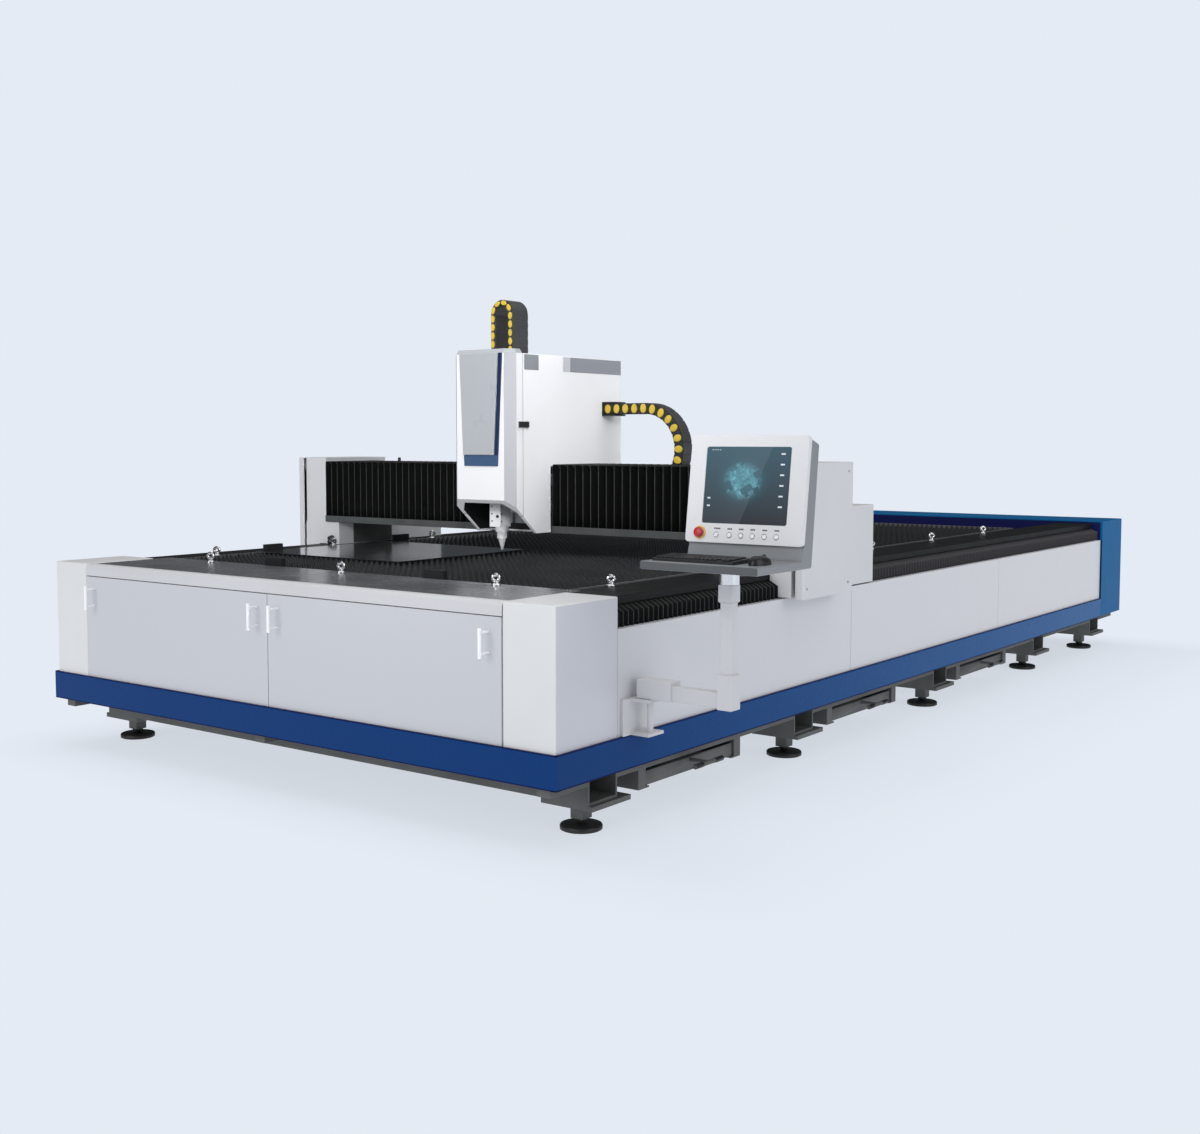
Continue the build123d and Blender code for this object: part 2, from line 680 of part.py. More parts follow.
# Y drives: a motor on each saddle, with its pinion beside the rack
with BuildPart() as y_drives:
    box_z = (cover_top_z + running_gap + 2, cover_top_z + 60)
    pinion_z = (guide_beam_top_z - rack_height + 2, guide_beam_top_z - 2)
    for low, high in both(drive_inset, drive_inset):
        block((low - 44, low + 44), (drive_y - 44, drive_y + 44), box_z)
        rod(38, (low, drive_y, box_z[1] + 90), 180)
        rod(shaft_radius, (low, drive_y, (pinion_z[0] + box_z[0]) / 2), box_z[0] - pinion_z[0])
        rod(pinion_radius, (low, drive_y, sum(pinion_z) / 2), pinion_z[1] - pinion_z[0])
save(y_drives.part, "y_drives")

# Head lid: where its two hinges and its latch turn
hinge_radius = 6.0
hinge_half = 30.0
hinge_heights = (1260.0, 1720.0)
latch_radius = 6.0
latch_half = 14.0
latch_z = 1507.0
latch_reach = 63.0

# Head housing: a white casing that hangs in front of the beam and reaches back over it
head_y = front


def head_profile(inset):
    """The side outline of the housing as points along Y and Z, drawn in by a wall's thickness."""
    return [(head_y + head_seam, head_top_z - inset),
            (head_y + head_rear - inset, head_top_z - inset),
            (head_y + head_rear - inset, head_saddle_z + inset),
            (head_y + head_back_low - inset, head_saddle_z + inset),
            (head_y + head_back_low - inset, head_bottom_z),
            (head_y + head_knee, head_bottom_z),
            (head_y + head_seam, chin_z)]


chin_slope = (head_chin_z - head_bottom_z) / (head_knee - head_front)
chin_z = head_chin_z - chin_slope * (head_seam - head_front)
head_sides = (head_x - head_side, head_x + head_side)
seam_y = head_y + head_seam - touch_gap
hinge_at = (head_sides[0] - touch_gap - hinge_radius, head_y + head_seam)
latch_at = (head_sides[1] + touch_gap + latch_radius, head_y + head_seam + 30)
carriage_z = (tray_bottom_z + tray_lip + 8, beam_top_z - 6)
with BuildPart() as head_housing:
    with BuildSketch(Plane.YZ.offset(head_sides[0])):
        with BuildLine():
            Polyline(*head_profile(0), close=True)
        make_face()
    extrude(amount=head_width)
    with BuildSketch(Plane.YZ.offset(head_sides[0] + head_wall)):
        with BuildLine():
            inner = head_profile(head_wall)
            Polyline(inner[0], inner[1], inner[2], inner[3],
                     (inner[3][0], head_bottom_z + head_wall),
                     (head_y + head_knee, head_bottom_z + head_wall),
                     (head_y + head_seam, chin_z + head_wall), close=True)
        make_face()
    extrude(amount=head_width - 2 * head_wall, mode=Mode.SUBTRACT)
    block((head_sides[0] + head_lip, head_sides[1] - head_lip),
          (head_y + head_seam - 1, head_y + head_back_low - head_lip),
          (head_bottom_z - 1, chin_z + 2 * head_wall), mode=Mode.SUBTRACT)
    block((head_x - 120, head_x + 120),
          (head_y + head_back_low - 20, head_y + head_back_low + 1), carriage_z, mode=Mode.SUBTRACT)
    slot_x = head_x - z_chain_radius
    block((slot_x - 20, slot_x + 20), (head_y + z_chain_y - 6, head_y + z_chain_y + z_chain_width + 6),
          (head_top_z - 20, head_top_z + 1), mode=Mode.SUBTRACT)
    for z in hinge_heights:
        rod(hinge_radius, (hinge_at[0], hinge_at[1], z - hinge_half / 2), hinge_half)
        rod(hinge_radius / 2, (hinge_at[0], hinge_at[1], z), 2 * hinge_half)
        block((hinge_at[0], head_sides[0]), (hinge_at[1], hinge_at[1] + 14), (z - hinge_half, z))
    rod(latch_radius / 2, (latch_at[0], latch_at[1], latch_z), 2 * latch_half + 12)
    for z in (latch_z - latch_half - 6, latch_z + latch_half + touch_gap):
        block((head_sides[1], latch_at[0] + latch_radius),
              (latch_at[1] - latch_radius, latch_at[1] + latch_radius), (z, z + 6 - touch_gap))
save(head_housing.part, "head_housing")


def lid_plan(inset):
    """The lid's outline from above, drawn in by an inset: two cut corners at its front."""
    cut = head_corner + inset * (sqrt(2) - 1)
    left = head_sides[0] + inset
    right = head_sides[1] - inset
    near = head_y + head_front + inset
    return [(left, seam_y), (left, near + cut), (left + cut, near), (right - cut, near),
            (right, near + cut), (right, seam_y)]


# Head front cover: a deep lid with cut front corners, open below inside a narrow lip
with BuildPart() as head_front_cover:
    with BuildSketch(Plane.YZ.offset(head_sides[0])):
        with BuildLine():
            Polyline((head_y + head_front, head_chin_z), (head_y + head_front, head_top_z),
                     (seam_y, head_top_z), (seam_y, chin_z), close=True)
        make_face()
    extrude(amount=head_width)
    chamfer(head_front_cover.edges().filter_by(Axis.Z).group_by(Axis.Y)[0], head_corner)
    with BuildSketch(Plane.XY.offset(head_chin_z + head_wall)):
        with BuildLine():
            Polyline(*lid_plan(head_wall), close=True)
        make_face()
    extrude(amount=head_top_z - 2 * head_wall - head_chin_z, mode=Mode.SUBTRACT)
    with BuildSketch(Plane.YZ.offset(head_sides[0] + head_wall)):
        with BuildLine():
            low_y = head_y + head_front + head_corner
            Polyline((low_y, head_chin_z - chin_slope * head_corner + head_wall),
                     (low_y, head_chin_z + 2 * head_wall), (seam_y, head_chin_z + 2 * head_wall),
                     (seam_y, chin_z + head_wall), close=True)
        make_face()
    extrude(amount=head_width - 2 * head_wall, mode=Mode.SUBTRACT)
    with BuildSketch(Plane.XY.offset(chin_z - 1)):
        with BuildLine():
            Polyline(*lid_plan(head_lip), close=True)
        make_face()
    extrude(amount=head_chin_z + 2 * head_wall - chin_z, mode=Mode.SUBTRACT)
    for z in hinge_heights:
        leaf_z = (z + touch_gap, z + hinge_half)
        middle = (hinge_at[0], hinge_at[1], sum(leaf_z) / 2)
        rod(hinge_radius, middle, leaf_z[1] - leaf_z[0])
        block((hinge_at[0], head_sides[0]), (hinge_at[1] - 14, seam_y), leaf_z)
        rod(hinge_radius / 2 + 0.08, middle, hinge_half, mode=Mode.SUBTRACT)
save(head_front_cover.part, "head_front_cover")

# Head fascia: a raised tapering panel on the front cover, and a cap over the cover's top
fascia_low_z = 1364.0
cap_height = 20.0
with BuildPart() as head_fascia:
    with BuildSketch(Plane.XZ.offset(-(head_y + head_front))):
        with BuildLine():
            Polyline((head_x - 120, head_top_z), (head_x + 118, head_top_z),
                     (head_x + 91, fascia_low_z), (head_x - 99, fascia_low_z), close=True)
        make_face()
    extrude(amount=12)
    with BuildSketch(Plane.XY.offset(head_top_z)):
        with BuildLine():
            Polyline(*lid_plan(2), close=True)
        make_face()
    extrude(amount=cap_height, taper=20)
save(head_fascia.part, "head_fascia")

# Head trim: the dark blue edge beside the fascia and the blue band below it
with BuildPart() as head_blue_trim:
    with BuildSketch(Plane.XZ.offset(-(head_y + head_front))):
        with BuildLine():
            Polyline((head_x + 119, head_top_z), (head_x + 139, head_top_z),
                     (head_x + 111, 1312), (head_x - 96, 1312), (head_x - 99, fascia_low_z - 1),
                     (head_x + 92, fascia_low_z - 1), close=True)
        make_face()
    extrude(amount=6)
save(head_blue_trim.part, "head_blue_trim")

# Head latch: a black catch that turns on the housing and laps over the lid's side
with BuildPart() as head_latch:
    rod(latch_radius, (latch_at[0], latch_at[1], latch_z), 2 * latch_half)
    block((latch_at[0] - latch_radius, latch_at[0] + latch_radius),
          (latch_at[1] - latch_reach, latch_at[1]), (latch_z - latch_half, latch_z + latch_half))
    rod(latch_radius / 2 + 0.08, (latch_at[0], latch_at[1], latch_z), 2 * latch_half,
        mode=Mode.SUBTRACT)
save(head_latch.part, "head_latch")

# Chain brackets: the angle that carries the X chain and the foot of the Z chain
bracket_end_x = head_sides[1] + 80
with BuildPart() as chain_brackets:
    shelf_y = (head_y + x_chain_y - 4, head_y + x_chain_y + x_chain_width + 4)
    box_z = (x_chain_top_z - chain_box_half, x_chain_top_z + chain_box_half)
    wall_z = chain_height / 2 + touch_gap
    block((head_sides[1], bracket_end_x), shelf_y, (box_z[0], x_chain_top_z - wall_z))
    block((head_sides[1], bracket_end_x), shelf_y, (x_chain_top_z + wall_z, box_z[1]))
    block((head_sides[1], head_sides[1] + 5), shelf_y, box_z)
    foot_x = head_x + z_chain_radius
    block((foot_x - 20, foot_x + 20), (head_y + z_chain_y, head_y + z_chain_y + z_chain_width),
          (head_top_z, head_top_z + 5))
save(chain_brackets.part, "chain_brackets")

# X chain: the cable chain that loops from the head down to the tray behind the beam
bend_x = bracket_end_x + x_chain_run
with BuildPart() as x_chain:
    with BuildSketch(Plane.XZ.offset(-(head_y + x_chain_y))):
        with BuildLine():
            top_z = x_chain_top_z
            low_z = x_chain_low_z
            half = chain_height / 2
            start_x = head_sides[1] + 6
            end_x = bed_x - 40
            top_out = Line((start_x, top_z + half), (bend_x, top_z + half))
            outer_arc = RadiusArc((bend_x, top_z + half), (bend_x, low_z - half),
                                  x_chain_radius + half)
            low_out = Line((bend_x, low_z - half), (end_x, low_z - half))
            end_line = Line((end_x, low_z - half), (end_x, low_z + half))
            low_in = Line((end_x, low_z + half), (bend_x, low_z + half))
            inner_arc = RadiusArc((bend_x, low_z + half), (bend_x, top_z - half),
                                  -(x_chain_radius - half))
            top_in = Line((bend_x, top_z - half), (start_x, top_z - half))
            start_line = Line((start_x, top_z - half), (start_x, top_z + half))
        make_face()
    extrude(amount=-x_chain_width)
save(x_chain.part, "x_chain")

# X carriage: a plate with four blocks on the X rails and two short rails for the cutting head
plate_back_y = beam_front_y - x_rail_stand - 26
with BuildPart() as x_carriage:
    plate_y = (head_y + head_back_low, plate_back_y)
    block((head_x - 150, head_x + 150), plate_y, carriage_z)
    for z in (x_rail_low_z, x_rail_high_z):
        for x in (head_x - 90, head_x + 90):
            block((x - 50, x + 50), (plate_back_y, beam_front_y - 6), (z - 30, z + 30))
    for x in (head_x - 50, head_x + 50):
        block((x - 10, x + 10), (head_y + head_back_low - 16, plate_y[0]), carriage_z)
    for z in (x_rail_low_z, x_rail_high_z):
        block((head_x - 200, head_x + 200),
              (beam_front_y - x_rail_stand - touch_gap, beam_front_y),
              (z - x_rail_size / 2 - touch_gap, z + x_rail_size / 2 + touch_gap), mode=Mode.SUBTRACT)
save(x_carriage.part, "x_carriage")

# Cutting head: slide plate, optical body and nozzle holder
nozzle_y = head_y + gantry_front - nozzle_forward
screw_x = head_x + 94
motor_y = head_y + head_back_low - 60
slide_y = (head_y + head_back_low - 34, head_y + head_back_low - 16 - touch_gap)
with BuildPart() as cutting_head:
    block((head_x - 70, head_x + 70), slide_y, (1080, 1300))
    block((head_x - 30, head_x + 30), (nozzle_y, slide_y[0] + 1), (1120, 1260))
    rod(36, (head_x, nozzle_y, 1290), 340)
    block((head_x - 46, head_x + 22), (nozzle_y - 38, nozzle_y + 38), (1017, 1200))
    rod(31, (head_x, nozzle_y, 1012), 36)
    rod(24, (head_x, nozzle_y, 978), 34)
    block((slot_x - 15, slot_x + 15), (head_y + z_chain_y + 2, slide_y[1]), (1300, 1312))
    block((head_x + 60, screw_x + 20), (motor_y - 20, slide_y[1]), (1270, 1300))
    rod(8 + touch_gap, (screw_x, motor_y, 1285), 40, mode=Mode.SUBTRACT)
save(cutting_head.part, "cutting_head")

# Nozzle: a copper cone below the holder
with BuildPart() as nozzle:
    with Locations((head_x, nozzle_y, (961 + nozzle_tip_z) / 2)):
        Cone(4, 19, 961 - nozzle_tip_z)
    rod(1.2, (head_x, nozzle_y, 933), 70, mode=Mode.SUBTRACT)
save(nozzle.part, "nozzle")

# Z drive: a screw motor inside the housing, above the cutting head
with BuildPart() as z_drive:
    block((head_x + 50, head_x + 110), (motor_y - 30, motor_y + 30), (1500, 1660))
    block((head_x + 42, head_x + 118), (motor_y - 40, head_y + head_back_low + 40), (1490, 1500))
    block((head_x + 42, head_x + 118), (head_y + head_back_low + 10, head_y + head_back_low + 40),
          (head_saddle_z + head_wall, 1490))
    rod(8, (screw_x, motor_y, 1345), 290)
save(z_drive.part, "z_drive")

# Z chain: the small cable chain over the top of the head, through a slot to the cutting head
with BuildPart() as z_chain:
    with BuildSketch(Plane.XZ.offset(-(head_y + z_chain_y))):
        arch_x = head_x
        arch_z = z_chain_top_z - z_chain_radius - z_chain_height / 2
        half = z_chain_height / 2
        outer_r = z_chain_radius + half
        inner_r = z_chain_radius - half
        fixed_z = head_top_z + 5 + touch_gap
        moving_z = 1312 + touch_gap
        with BuildLine():
            RadiusArc((arch_x - outer_r, arch_z), (arch_x + outer_r, arch_z), outer_r)
            Line((arch_x + outer_r, arch_z), (arch_x + outer_r, fixed_z))
            Line((arch_x + outer_r, fixed_z), (arch_x + inner_r, fixed_z))
            Line((arch_x + inner_r, fixed_z), (arch_x + inner_r, arch_z))
            RadiusArc((arch_x + inner_r, arch_z), (arch_x - inner_r, arch_z), -inner_r)
            Line((arch_x - inner_r, arch_z), (arch_x - inner_r, moving_z))
            Line((arch_x - inner_r, moving_z), (arch_x - outer_r, moving_z))
            Line((arch_x - outer_r, moving_z), (arch_x - outer_r, arch_z))
        make_face()
    extrude(amount=-z_chain_width)
save(z_chain.part, "z_chain")

# Front drawers: a face with two bar handles, and an open tray behind it
for name, bay in bays.items():
    with BuildPart() as front_drawer:
        block(bay, (face_y, face_y + 20), (skirt_top_z + touch_gap, door_top_z - drawer_gap))
        tray_x = (bay[0] + tray_side, bay[1] - tray_side)
        tray_y = (face_y + 20, face_y + front_drawer_depth)
        tray_z = (skirt_top_z + 30, front_tray_top_z)
        wall = front_drawer_wall
        block(tray_x, tray_y, tray_z)
        block((tray_x[0] + wall, tray_x[1] - wall), (tray_y[0], tray_y[1] - wall),
              (tray_z[0] + wall, tray_z[1]), mode=Mode.SUBTRACT)
    save(front_drawer.part, f"front_drawer_{name}")
    with BuildPart() as front_handles:
        for x in (bay[0] + bar_handle_inset, bay[1] - bar_handle_inset):
            bar_y = front - handle_reach + bar_handle_radius
            rod(bar_handle_radius, (x, bar_y, bar_handle_z), bar_handle_length)
            for z in (bar_handle_z - 38, bar_handle_z + 38):
                rod(5, (x, (bar_y + face_y) / 2, z), face_y - bar_y, "Y")
    save(front_handles.part, f"front_handles_{name}")

# Scrap drawers: low trays under the bed, each pulled out by a T handle
for i, y in enumerate(drawer_centres):
    with BuildPart() as scrap_drawer:
        body_x = (right - 60 - scrap_drawer_length, right - 60)
        body_y = (y - scrap_drawer_width / 2, y + scrap_drawer_width / 2)
        floor_z = runner_bottom_z + runner_shelf + touch_gap
        body_z = (floor_z, floor_z + scrap_drawer_height)
        block(body_x, body_y, body_z)
        block((body_x[0] + 3, body_x[1] - 3), (body_y[0] + 3, body_y[1] - 3),
              (body_z[0] + 3, body_z[1]), mode=Mode.SUBTRACT)
        stem_z = body_z[1] - 12
        rod(8, (right - 60 + 45, y, stem_z), 90, "X")
        rod(t_bar_radius, (right + 28, y, stem_z), t_bar_length, "Y")
    save(scrap_drawer.part, f"scrap_drawer_{i + 1}")

# Console arm: a pivot block, a square arm, and the upright post with its sleeve
post = (right + console_post_x, front + console_y)
with BuildPart() as console_arm:
    arm_z = (bracket_top_z + touch_gap, bracket_top_z + touch_gap + arm_height)
    block((pivot[0] - 38, pivot[0] + 112), (pivot[1] - 36, pivot[1] + 36),
          (arm_z[0], arm_z[1] + 16))
    block((pivot[0] + 60, post[0]), (pivot[1] - arm_width / 2, pivot[1] + arm_width / 2), arm_z)
    block((post[0] - post_block / 2, post[0] + post_block / 2),
          (post[1] - post_block / 2, post[1] + post_block / 2), (arm_z[0] - 6, post_block_top_z))
    block((post[0] - post_size / 2, post[0] + post_size / 2),
          (post[1] - post_size / 2, post[1] + post_size / 2), (post_block_top_z, post_top_z))
    block((post[0] - 29, post[0] + 29), (post[1] - 29, post[1] + 29), (sleeve_bottom_z, post_top_z))
    bore_z = (arm_z[0], pin_z[1] + 1)
    rod(pin_radius + 0.08, (pivot[0], pivot[1], sum(bore_z) / 2), bore_z[1] - bore_z[0],
        mode=Mode.SUBTRACT)
    rod(collar_radius / 2, (post[0], post[1], post_top_z + 12), 24)
save(console_arm.part, "console_arm")

# Swivel collar: the bright ring that the console turns on
collar_z = (post_top_z + touch_gap, tray_top_z - tray_thickness)
with BuildPart() as swivel_collar:
    rod(collar_radius, (post[0], post[1], sum(collar_z) / 2), collar_z[1] - collar_z[0])
    rod(collar_radius / 2 + 0.08, (post[0], post[1], post_top_z + 13), 28, mode=Mode.SUBTRACT)
save(swivel_collar.part, "swivel_collar")

# Console housing: the grey casing of the monitor, its neck and the keyboard tray
console_x = (right + console_reach - bezel_width, right + console_reach)
cos_lean = cos(radians(lean))
sin_lean = sin(radians(lean))


def face_point(up, back):
    """A point of the leaning face in Y and Z, measured up it and back into it."""
    return (front + bezel_front + up * sin_lean + back * cos_lean,
            bezel_bottom_z + up * cos_lean - back * sin_lean)


with BuildPart() as console_housing:
    with BuildSketch(Plane.YZ.offset(console_x[0] + 3)):
        with BuildLine():
            Polyline((front + tray_front, tray_top_z - tray_thickness),
                     (front + tray_front, tray_top_z),
                     (front + bezel_front + 8, tray_top_z),
                     face_point(-6, bezel_thickness + touch_gap),
                     face_point(bezel_height - 8, bezel_thickness + touch_gap),
                     face_point(bezel_height - 20, bezel_thickness + 58),
                     (front + bezel_front + 76, tray_top_z - tray_thickness), close=True)
        make_face()
    extrude(amount=bezel_width - 6)
    with BuildSketch(Plane.YZ.offset(console_x[0] + 8)):
        with BuildLine():
            Polyline(face_point(6, bezel_thickness), face_point(bezel_height - 16, bezel_thickness),
                     face_point(bezel_height - 26, bezel_thickness + 52),
                     face_point(6, bezel_thickness + 52), close=True)
        make_face()
    extrude(amount=bezel_width - 16, mode=Mode.SUBTRACT)
save(console_housing.part, "console_housing")

face_plane = Plane(origin=(console_x[0], front + bezel_front, bezel_bottom_z),
                   x_dir=(1, 0, 0), z_dir=(0, -cos_lean, sin_lean))

# Console bezel: the white front with its screen opening and button holes
with BuildPart() as console_bezel:
    with BuildSketch(face_plane):
        with Locations((bezel_width / 2, bezel_height / 2)):
            RectangleRounded(bezel_width, bezel_height, 14)
    extrude(amount=-bezel_thickness)
    with BuildSketch(face_plane):
        with Locations((bezel_width / 2, screen_bottom + screen_height / 2)):
            RectangleRounded(screen_width, screen_height, 8)
    extrude(amount=-bezel_thickness, mode=Mode.SUBTRACT)
    with BuildSketch(face_plane):
        with Locations(*[(x, button_row) for x in button_offsets]):
            Circle(button_radius + touch_gap)
        with Locations((stop_offset, button_row + 6)):
            Circle(11 + touch_gap)
    extrude(amount=-bezel_thickness, mode=Mode.SUBTRACT)
save(console_bezel.part, "console_bezel")

# Console screen: the glass panel set into the bezel
with BuildPart() as console_screen:
    with BuildSketch(face_plane.offset(-3)):
        with Locations((bezel_width / 2, screen_bottom + screen_height / 2)):
            RectangleRounded(screen_width, screen_height, 8)
    extrude(amount=-8)
save(console_screen.part, "console_screen")

# Emergency stop: a mushroom head on a stem through the bezel
with BuildPart() as emergency_stop:
    with BuildSketch(face_plane.offset(stop_travel + 3)):
        with Locations((stop_offset, button_row + 6)):
            Circle(stop_radius)
    extrude(amount=14)
    fillet(emergency_stop.edges().filter_by(GeomType.CIRCLE), 4)
    with BuildSketch(face_plane.offset(stop_travel + 5)):
        with Locations((stop_offset, button_row + 6)):
            Circle(11)
    extrude(amount=-(bezel_thickness - 2))
save(emergency_stop.part, "emergency_stop")

# Push buttons: one row along the foot of the bezel
for i, x in enumerate(button_offsets):
    with BuildPart() as push_button:
        with BuildSketch(face_plane.offset(button_travel + 1)):
            with Locations((x, button_row)):
                Circle(button_radius)
        extrude(amount=-(bezel_thickness - 2))
    save(push_button.part, f"push_button_{i + 1}")

# Keyboard and mouse: loose on the tray
keyboard_x = console_x[0] + 30
with BuildPart() as keyboard:
    block((keyboard_x, keyboard_x + 320), (front + 200, front + 322),
          (tray_top_z, tray_top_z + 14))
    block((keyboard_x + 8, keyboard_x + 312), (front + 208, front + 314),
          (tray_top_z + 14, tray_top_z + 19))
save(keyboard.part, "keyboard")

with BuildPart() as mouse:
    block((keyboard_x + 352, keyboard_x + 412), (front + 212, front + 322),
          (tray_top_z, tray_top_z + 30))
    fillet(mouse.edges().filter_by(Axis.Z), 24)
    fillet(mouse.faces().sort_by(Axis.Z)[-1].edges(), 12)
save(mouse.part, "mouse")
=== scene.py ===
"""The looks of the gantry laser cutting machine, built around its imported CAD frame.

Metres, in the frame of the CAD model: +X to the console side, +Y to the rear end, +Z up.
"""

import bmesh
import bpy
import numpy as np
from math import atan2, cos, pi, radians, sin
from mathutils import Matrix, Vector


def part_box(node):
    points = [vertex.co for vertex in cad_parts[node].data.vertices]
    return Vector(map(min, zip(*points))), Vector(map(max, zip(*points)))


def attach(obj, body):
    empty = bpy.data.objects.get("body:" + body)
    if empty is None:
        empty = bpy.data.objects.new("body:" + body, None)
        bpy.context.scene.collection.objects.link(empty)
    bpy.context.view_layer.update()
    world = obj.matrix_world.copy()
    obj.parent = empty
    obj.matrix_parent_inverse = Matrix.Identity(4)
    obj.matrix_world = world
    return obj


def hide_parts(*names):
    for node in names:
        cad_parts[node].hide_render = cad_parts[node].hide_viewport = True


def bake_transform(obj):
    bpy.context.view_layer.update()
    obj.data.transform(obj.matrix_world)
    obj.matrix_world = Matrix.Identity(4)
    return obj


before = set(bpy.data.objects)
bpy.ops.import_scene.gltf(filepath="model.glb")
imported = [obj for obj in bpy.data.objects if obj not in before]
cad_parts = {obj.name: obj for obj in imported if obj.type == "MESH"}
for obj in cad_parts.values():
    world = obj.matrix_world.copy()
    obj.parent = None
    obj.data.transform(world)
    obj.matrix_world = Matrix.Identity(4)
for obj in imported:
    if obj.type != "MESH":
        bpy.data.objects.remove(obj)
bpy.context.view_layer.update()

# Faces of the bed, and the middle of the head, in metres
LEFT = -1.803
RIGHT = 1.197
FRONT = -3.199
REAR = 3.241
HEAD_X = -0.267
LEAN = radians(7.5)

# Camera: where the photograph was taken from
camera_data = bpy.data.cameras.new("photo_camera")
camera_data.sensor_width = 36.0
camera_data.lens = 42.28
camera_data.shift_x = 0.0071
camera_data.shift_y = -0.0259
camera_data.clip_end = 200.0
camera = bpy.data.objects.new("photo_camera", camera_data)
camera.location = (4.1545, -6.9433, 1.44)
camera.rotation_euler = (radians(90 - 3.94), 0, radians(36.84))
bpy.context.scene.collection.objects.link(camera)
bpy.context.scene.camera = camera
bpy.context.scene.view_settings.view_transform = "Standard"


class Wire:
    """A socket or a number in a material: arithmetic on it adds Math nodes."""

    def __init__(self, finish, value):
        self.finish = finish
        self.value = value

    def join(self, operation, *others, clamp=False):
        wires = [self, *others]
        inputs = {i: w.value if isinstance(w, Wire) else w for i, w in enumerate(wires)}
        node = self.finish.node("Math", {"operation": operation, "use_clamp": clamp}, inputs)
        return Wire(self.finish, node.outputs[0])

    def __add__(self, other):
        return self.join("ADD", other)

    def __sub__(self, other):
        return self.join("SUBTRACT", other)

    def __rsub__(self, other):
        return Wire(self.finish, other).join("SUBTRACT", self)

    def __mul__(self, other):
        return self.join("MULTIPLY", other)

    def __truediv__(self, other):
        return self.join("DIVIDE", other)

    def __gt__(self, other):
        return self.join("GREATER_THAN", other)

    def __lt__(self, other):
        return self.join("LESS_THAN", other)

    def clamped(self):
        return self.join("ADD", 0.0, clamp=True)

    def absolute(self):
        return self.join("ABSOLUTE")

    def band(self, low, high):
        """1 between two values and 0 outside them."""
        return (self > low) * (self < high)

    def fade(self, low, high):
        """0 below one value, 1 above the other, straight between them."""
        return ((self - low) / (high - low)).clamped()


class Finish:
    """A material being put together from nodes round one Principled shader."""

    def __init__(self, name, colour, roughness, metallic=0.0, specular=0.5):
        self.material = bpy.data.materials.new(name)
        self.material.use_nodes = True
        self.tree = self.material.node_tree
        self.shader = self.tree.nodes["Principled BSDF"]
        self.shader.inputs["Base Color"].default_value = (*colour, 1.0)
        self.shader.inputs["Roughness"].default_value = roughness
        self.shader.inputs["Metallic"].default_value = metallic
        self.shader.inputs["Specular IOR Level"].default_value = specular
        self.place = self.node("TexCoord").outputs["Object"]

    def node(self, kind, settings=None, inputs=None):
        """Any node: its type, its settings, then values or links for its sockets."""
        made = self.tree.nodes.new("ShaderNode" + kind)
        for key, value in (settings or {}).items():
            setattr(made, key, value)
        for key, value in (inputs or {}).items():
            socket = made.inputs[key]
            value = value.value if isinstance(value, Wire) else value
            if isinstance(value, bpy.types.NodeSocket):
                self.tree.links.new(value, socket)
            else:
                socket.default_value = value
        return made

    def parts_of(self, vector):
        """The three parts of a vector or a colour as wires."""
        split = self.node("SeparateXYZ", inputs={0: vector})
        return [Wire(self, split.outputs[i]) for i in range(3)]

    def axes(self):
        """X, Y and Z of the object's own coordinates."""
        return self.parts_of(self.place)

    def noise(self, scale, detail=3.0, roughness=0.55, stretch=(1, 1, 1)):
        moved = self.node("Mapping", inputs={"Vector": self.place, "Scale": stretch})
        made = self.node("TexNoise", inputs={"Vector": moved.outputs[0], "Scale": scale,
                                             "Detail": detail, "Roughness": roughness})
        return Wire(self, made.outputs[0])

    def mix(self, factor, low, high):
        """Two colours mixed by a wire."""
        inputs = {0: factor, 6: low if isinstance(low, bpy.types.NodeSocket) else (*low, 1.0),
                  7: high if isinstance(high, bpy.types.NodeSocket) else (*high, 1.0)}
        return self.node("Mix", {"data_type": "RGBA"}, inputs).outputs[2]

    def feed(self, socket, value):
        value = value.value if isinstance(value, Wire) else value
        self.tree.links.new(value, self.shader.inputs[socket])

    def bump(self, height, depth, strength=1.0):
        made = self.node("Bump", inputs={"Height": height, "Distance": depth,
                                         "Strength": strength})
        self.tree.links.new(made.outputs[0], self.shader.inputs["Normal"])
        return self

    def clouded(self, colour):
        """A coat's colour, a little darker and paler in soft clouds."""
        return self.mix(self.noise(1.3, 4.0).fade(0.3, 0.7), shade(colour, 0.96),
                        shade(colour, 1.04))

    def sprayed(self, roughness, depth=0.0005, strength=0.15):
        """The smeared gloss and the fine orange peel of a sprayed and baked coat."""
        smear = self.noise(9.0, 5.0, 0.6)
        self.feed("Roughness", (smear * 0.16 + (roughness - 0.08)).clamped())
        return self.bump(self.noise(420.0, 2.0), depth, strength)


def shade(colour, factor):
    """A colour made lighter or darker by a factor."""
    return tuple(min(1.0, c * factor) for c in colour)


def powder_coat(name, colour, roughness=0.38, specular=0.35):
    """Sprayed and baked coating of one colour."""
    finish = Finish(name, colour, roughness, specular=specular)
    finish.feed("Base Color", finish.clouded(colour))
    return finish.sprayed(roughness, 0.0006, 0.18)


def bare_steel(name, colour, roughness, stretch, metallic=1.0):
    """Rolled or ground steel: fine lines along one way, and darker, rougher clouds."""
    finish = Finish(name, colour, roughness, metallic)
    lines = finish.noise(260.0, 3.0, 0.6, stretch)
    cloud = finish.noise(3.5, 4.0)
    finish.feed("Base Color", finish.mix(cloud.fade(0.35, 0.7), shade(colour, 0.82),
                                         shade(colour, 1.12)))
    finish.feed("Roughness", (lines * 0.18 + cloud * 0.12 + (roughness - 0.14)).clamped())
    return finish.bump(lines, 0.0004, 0.25)


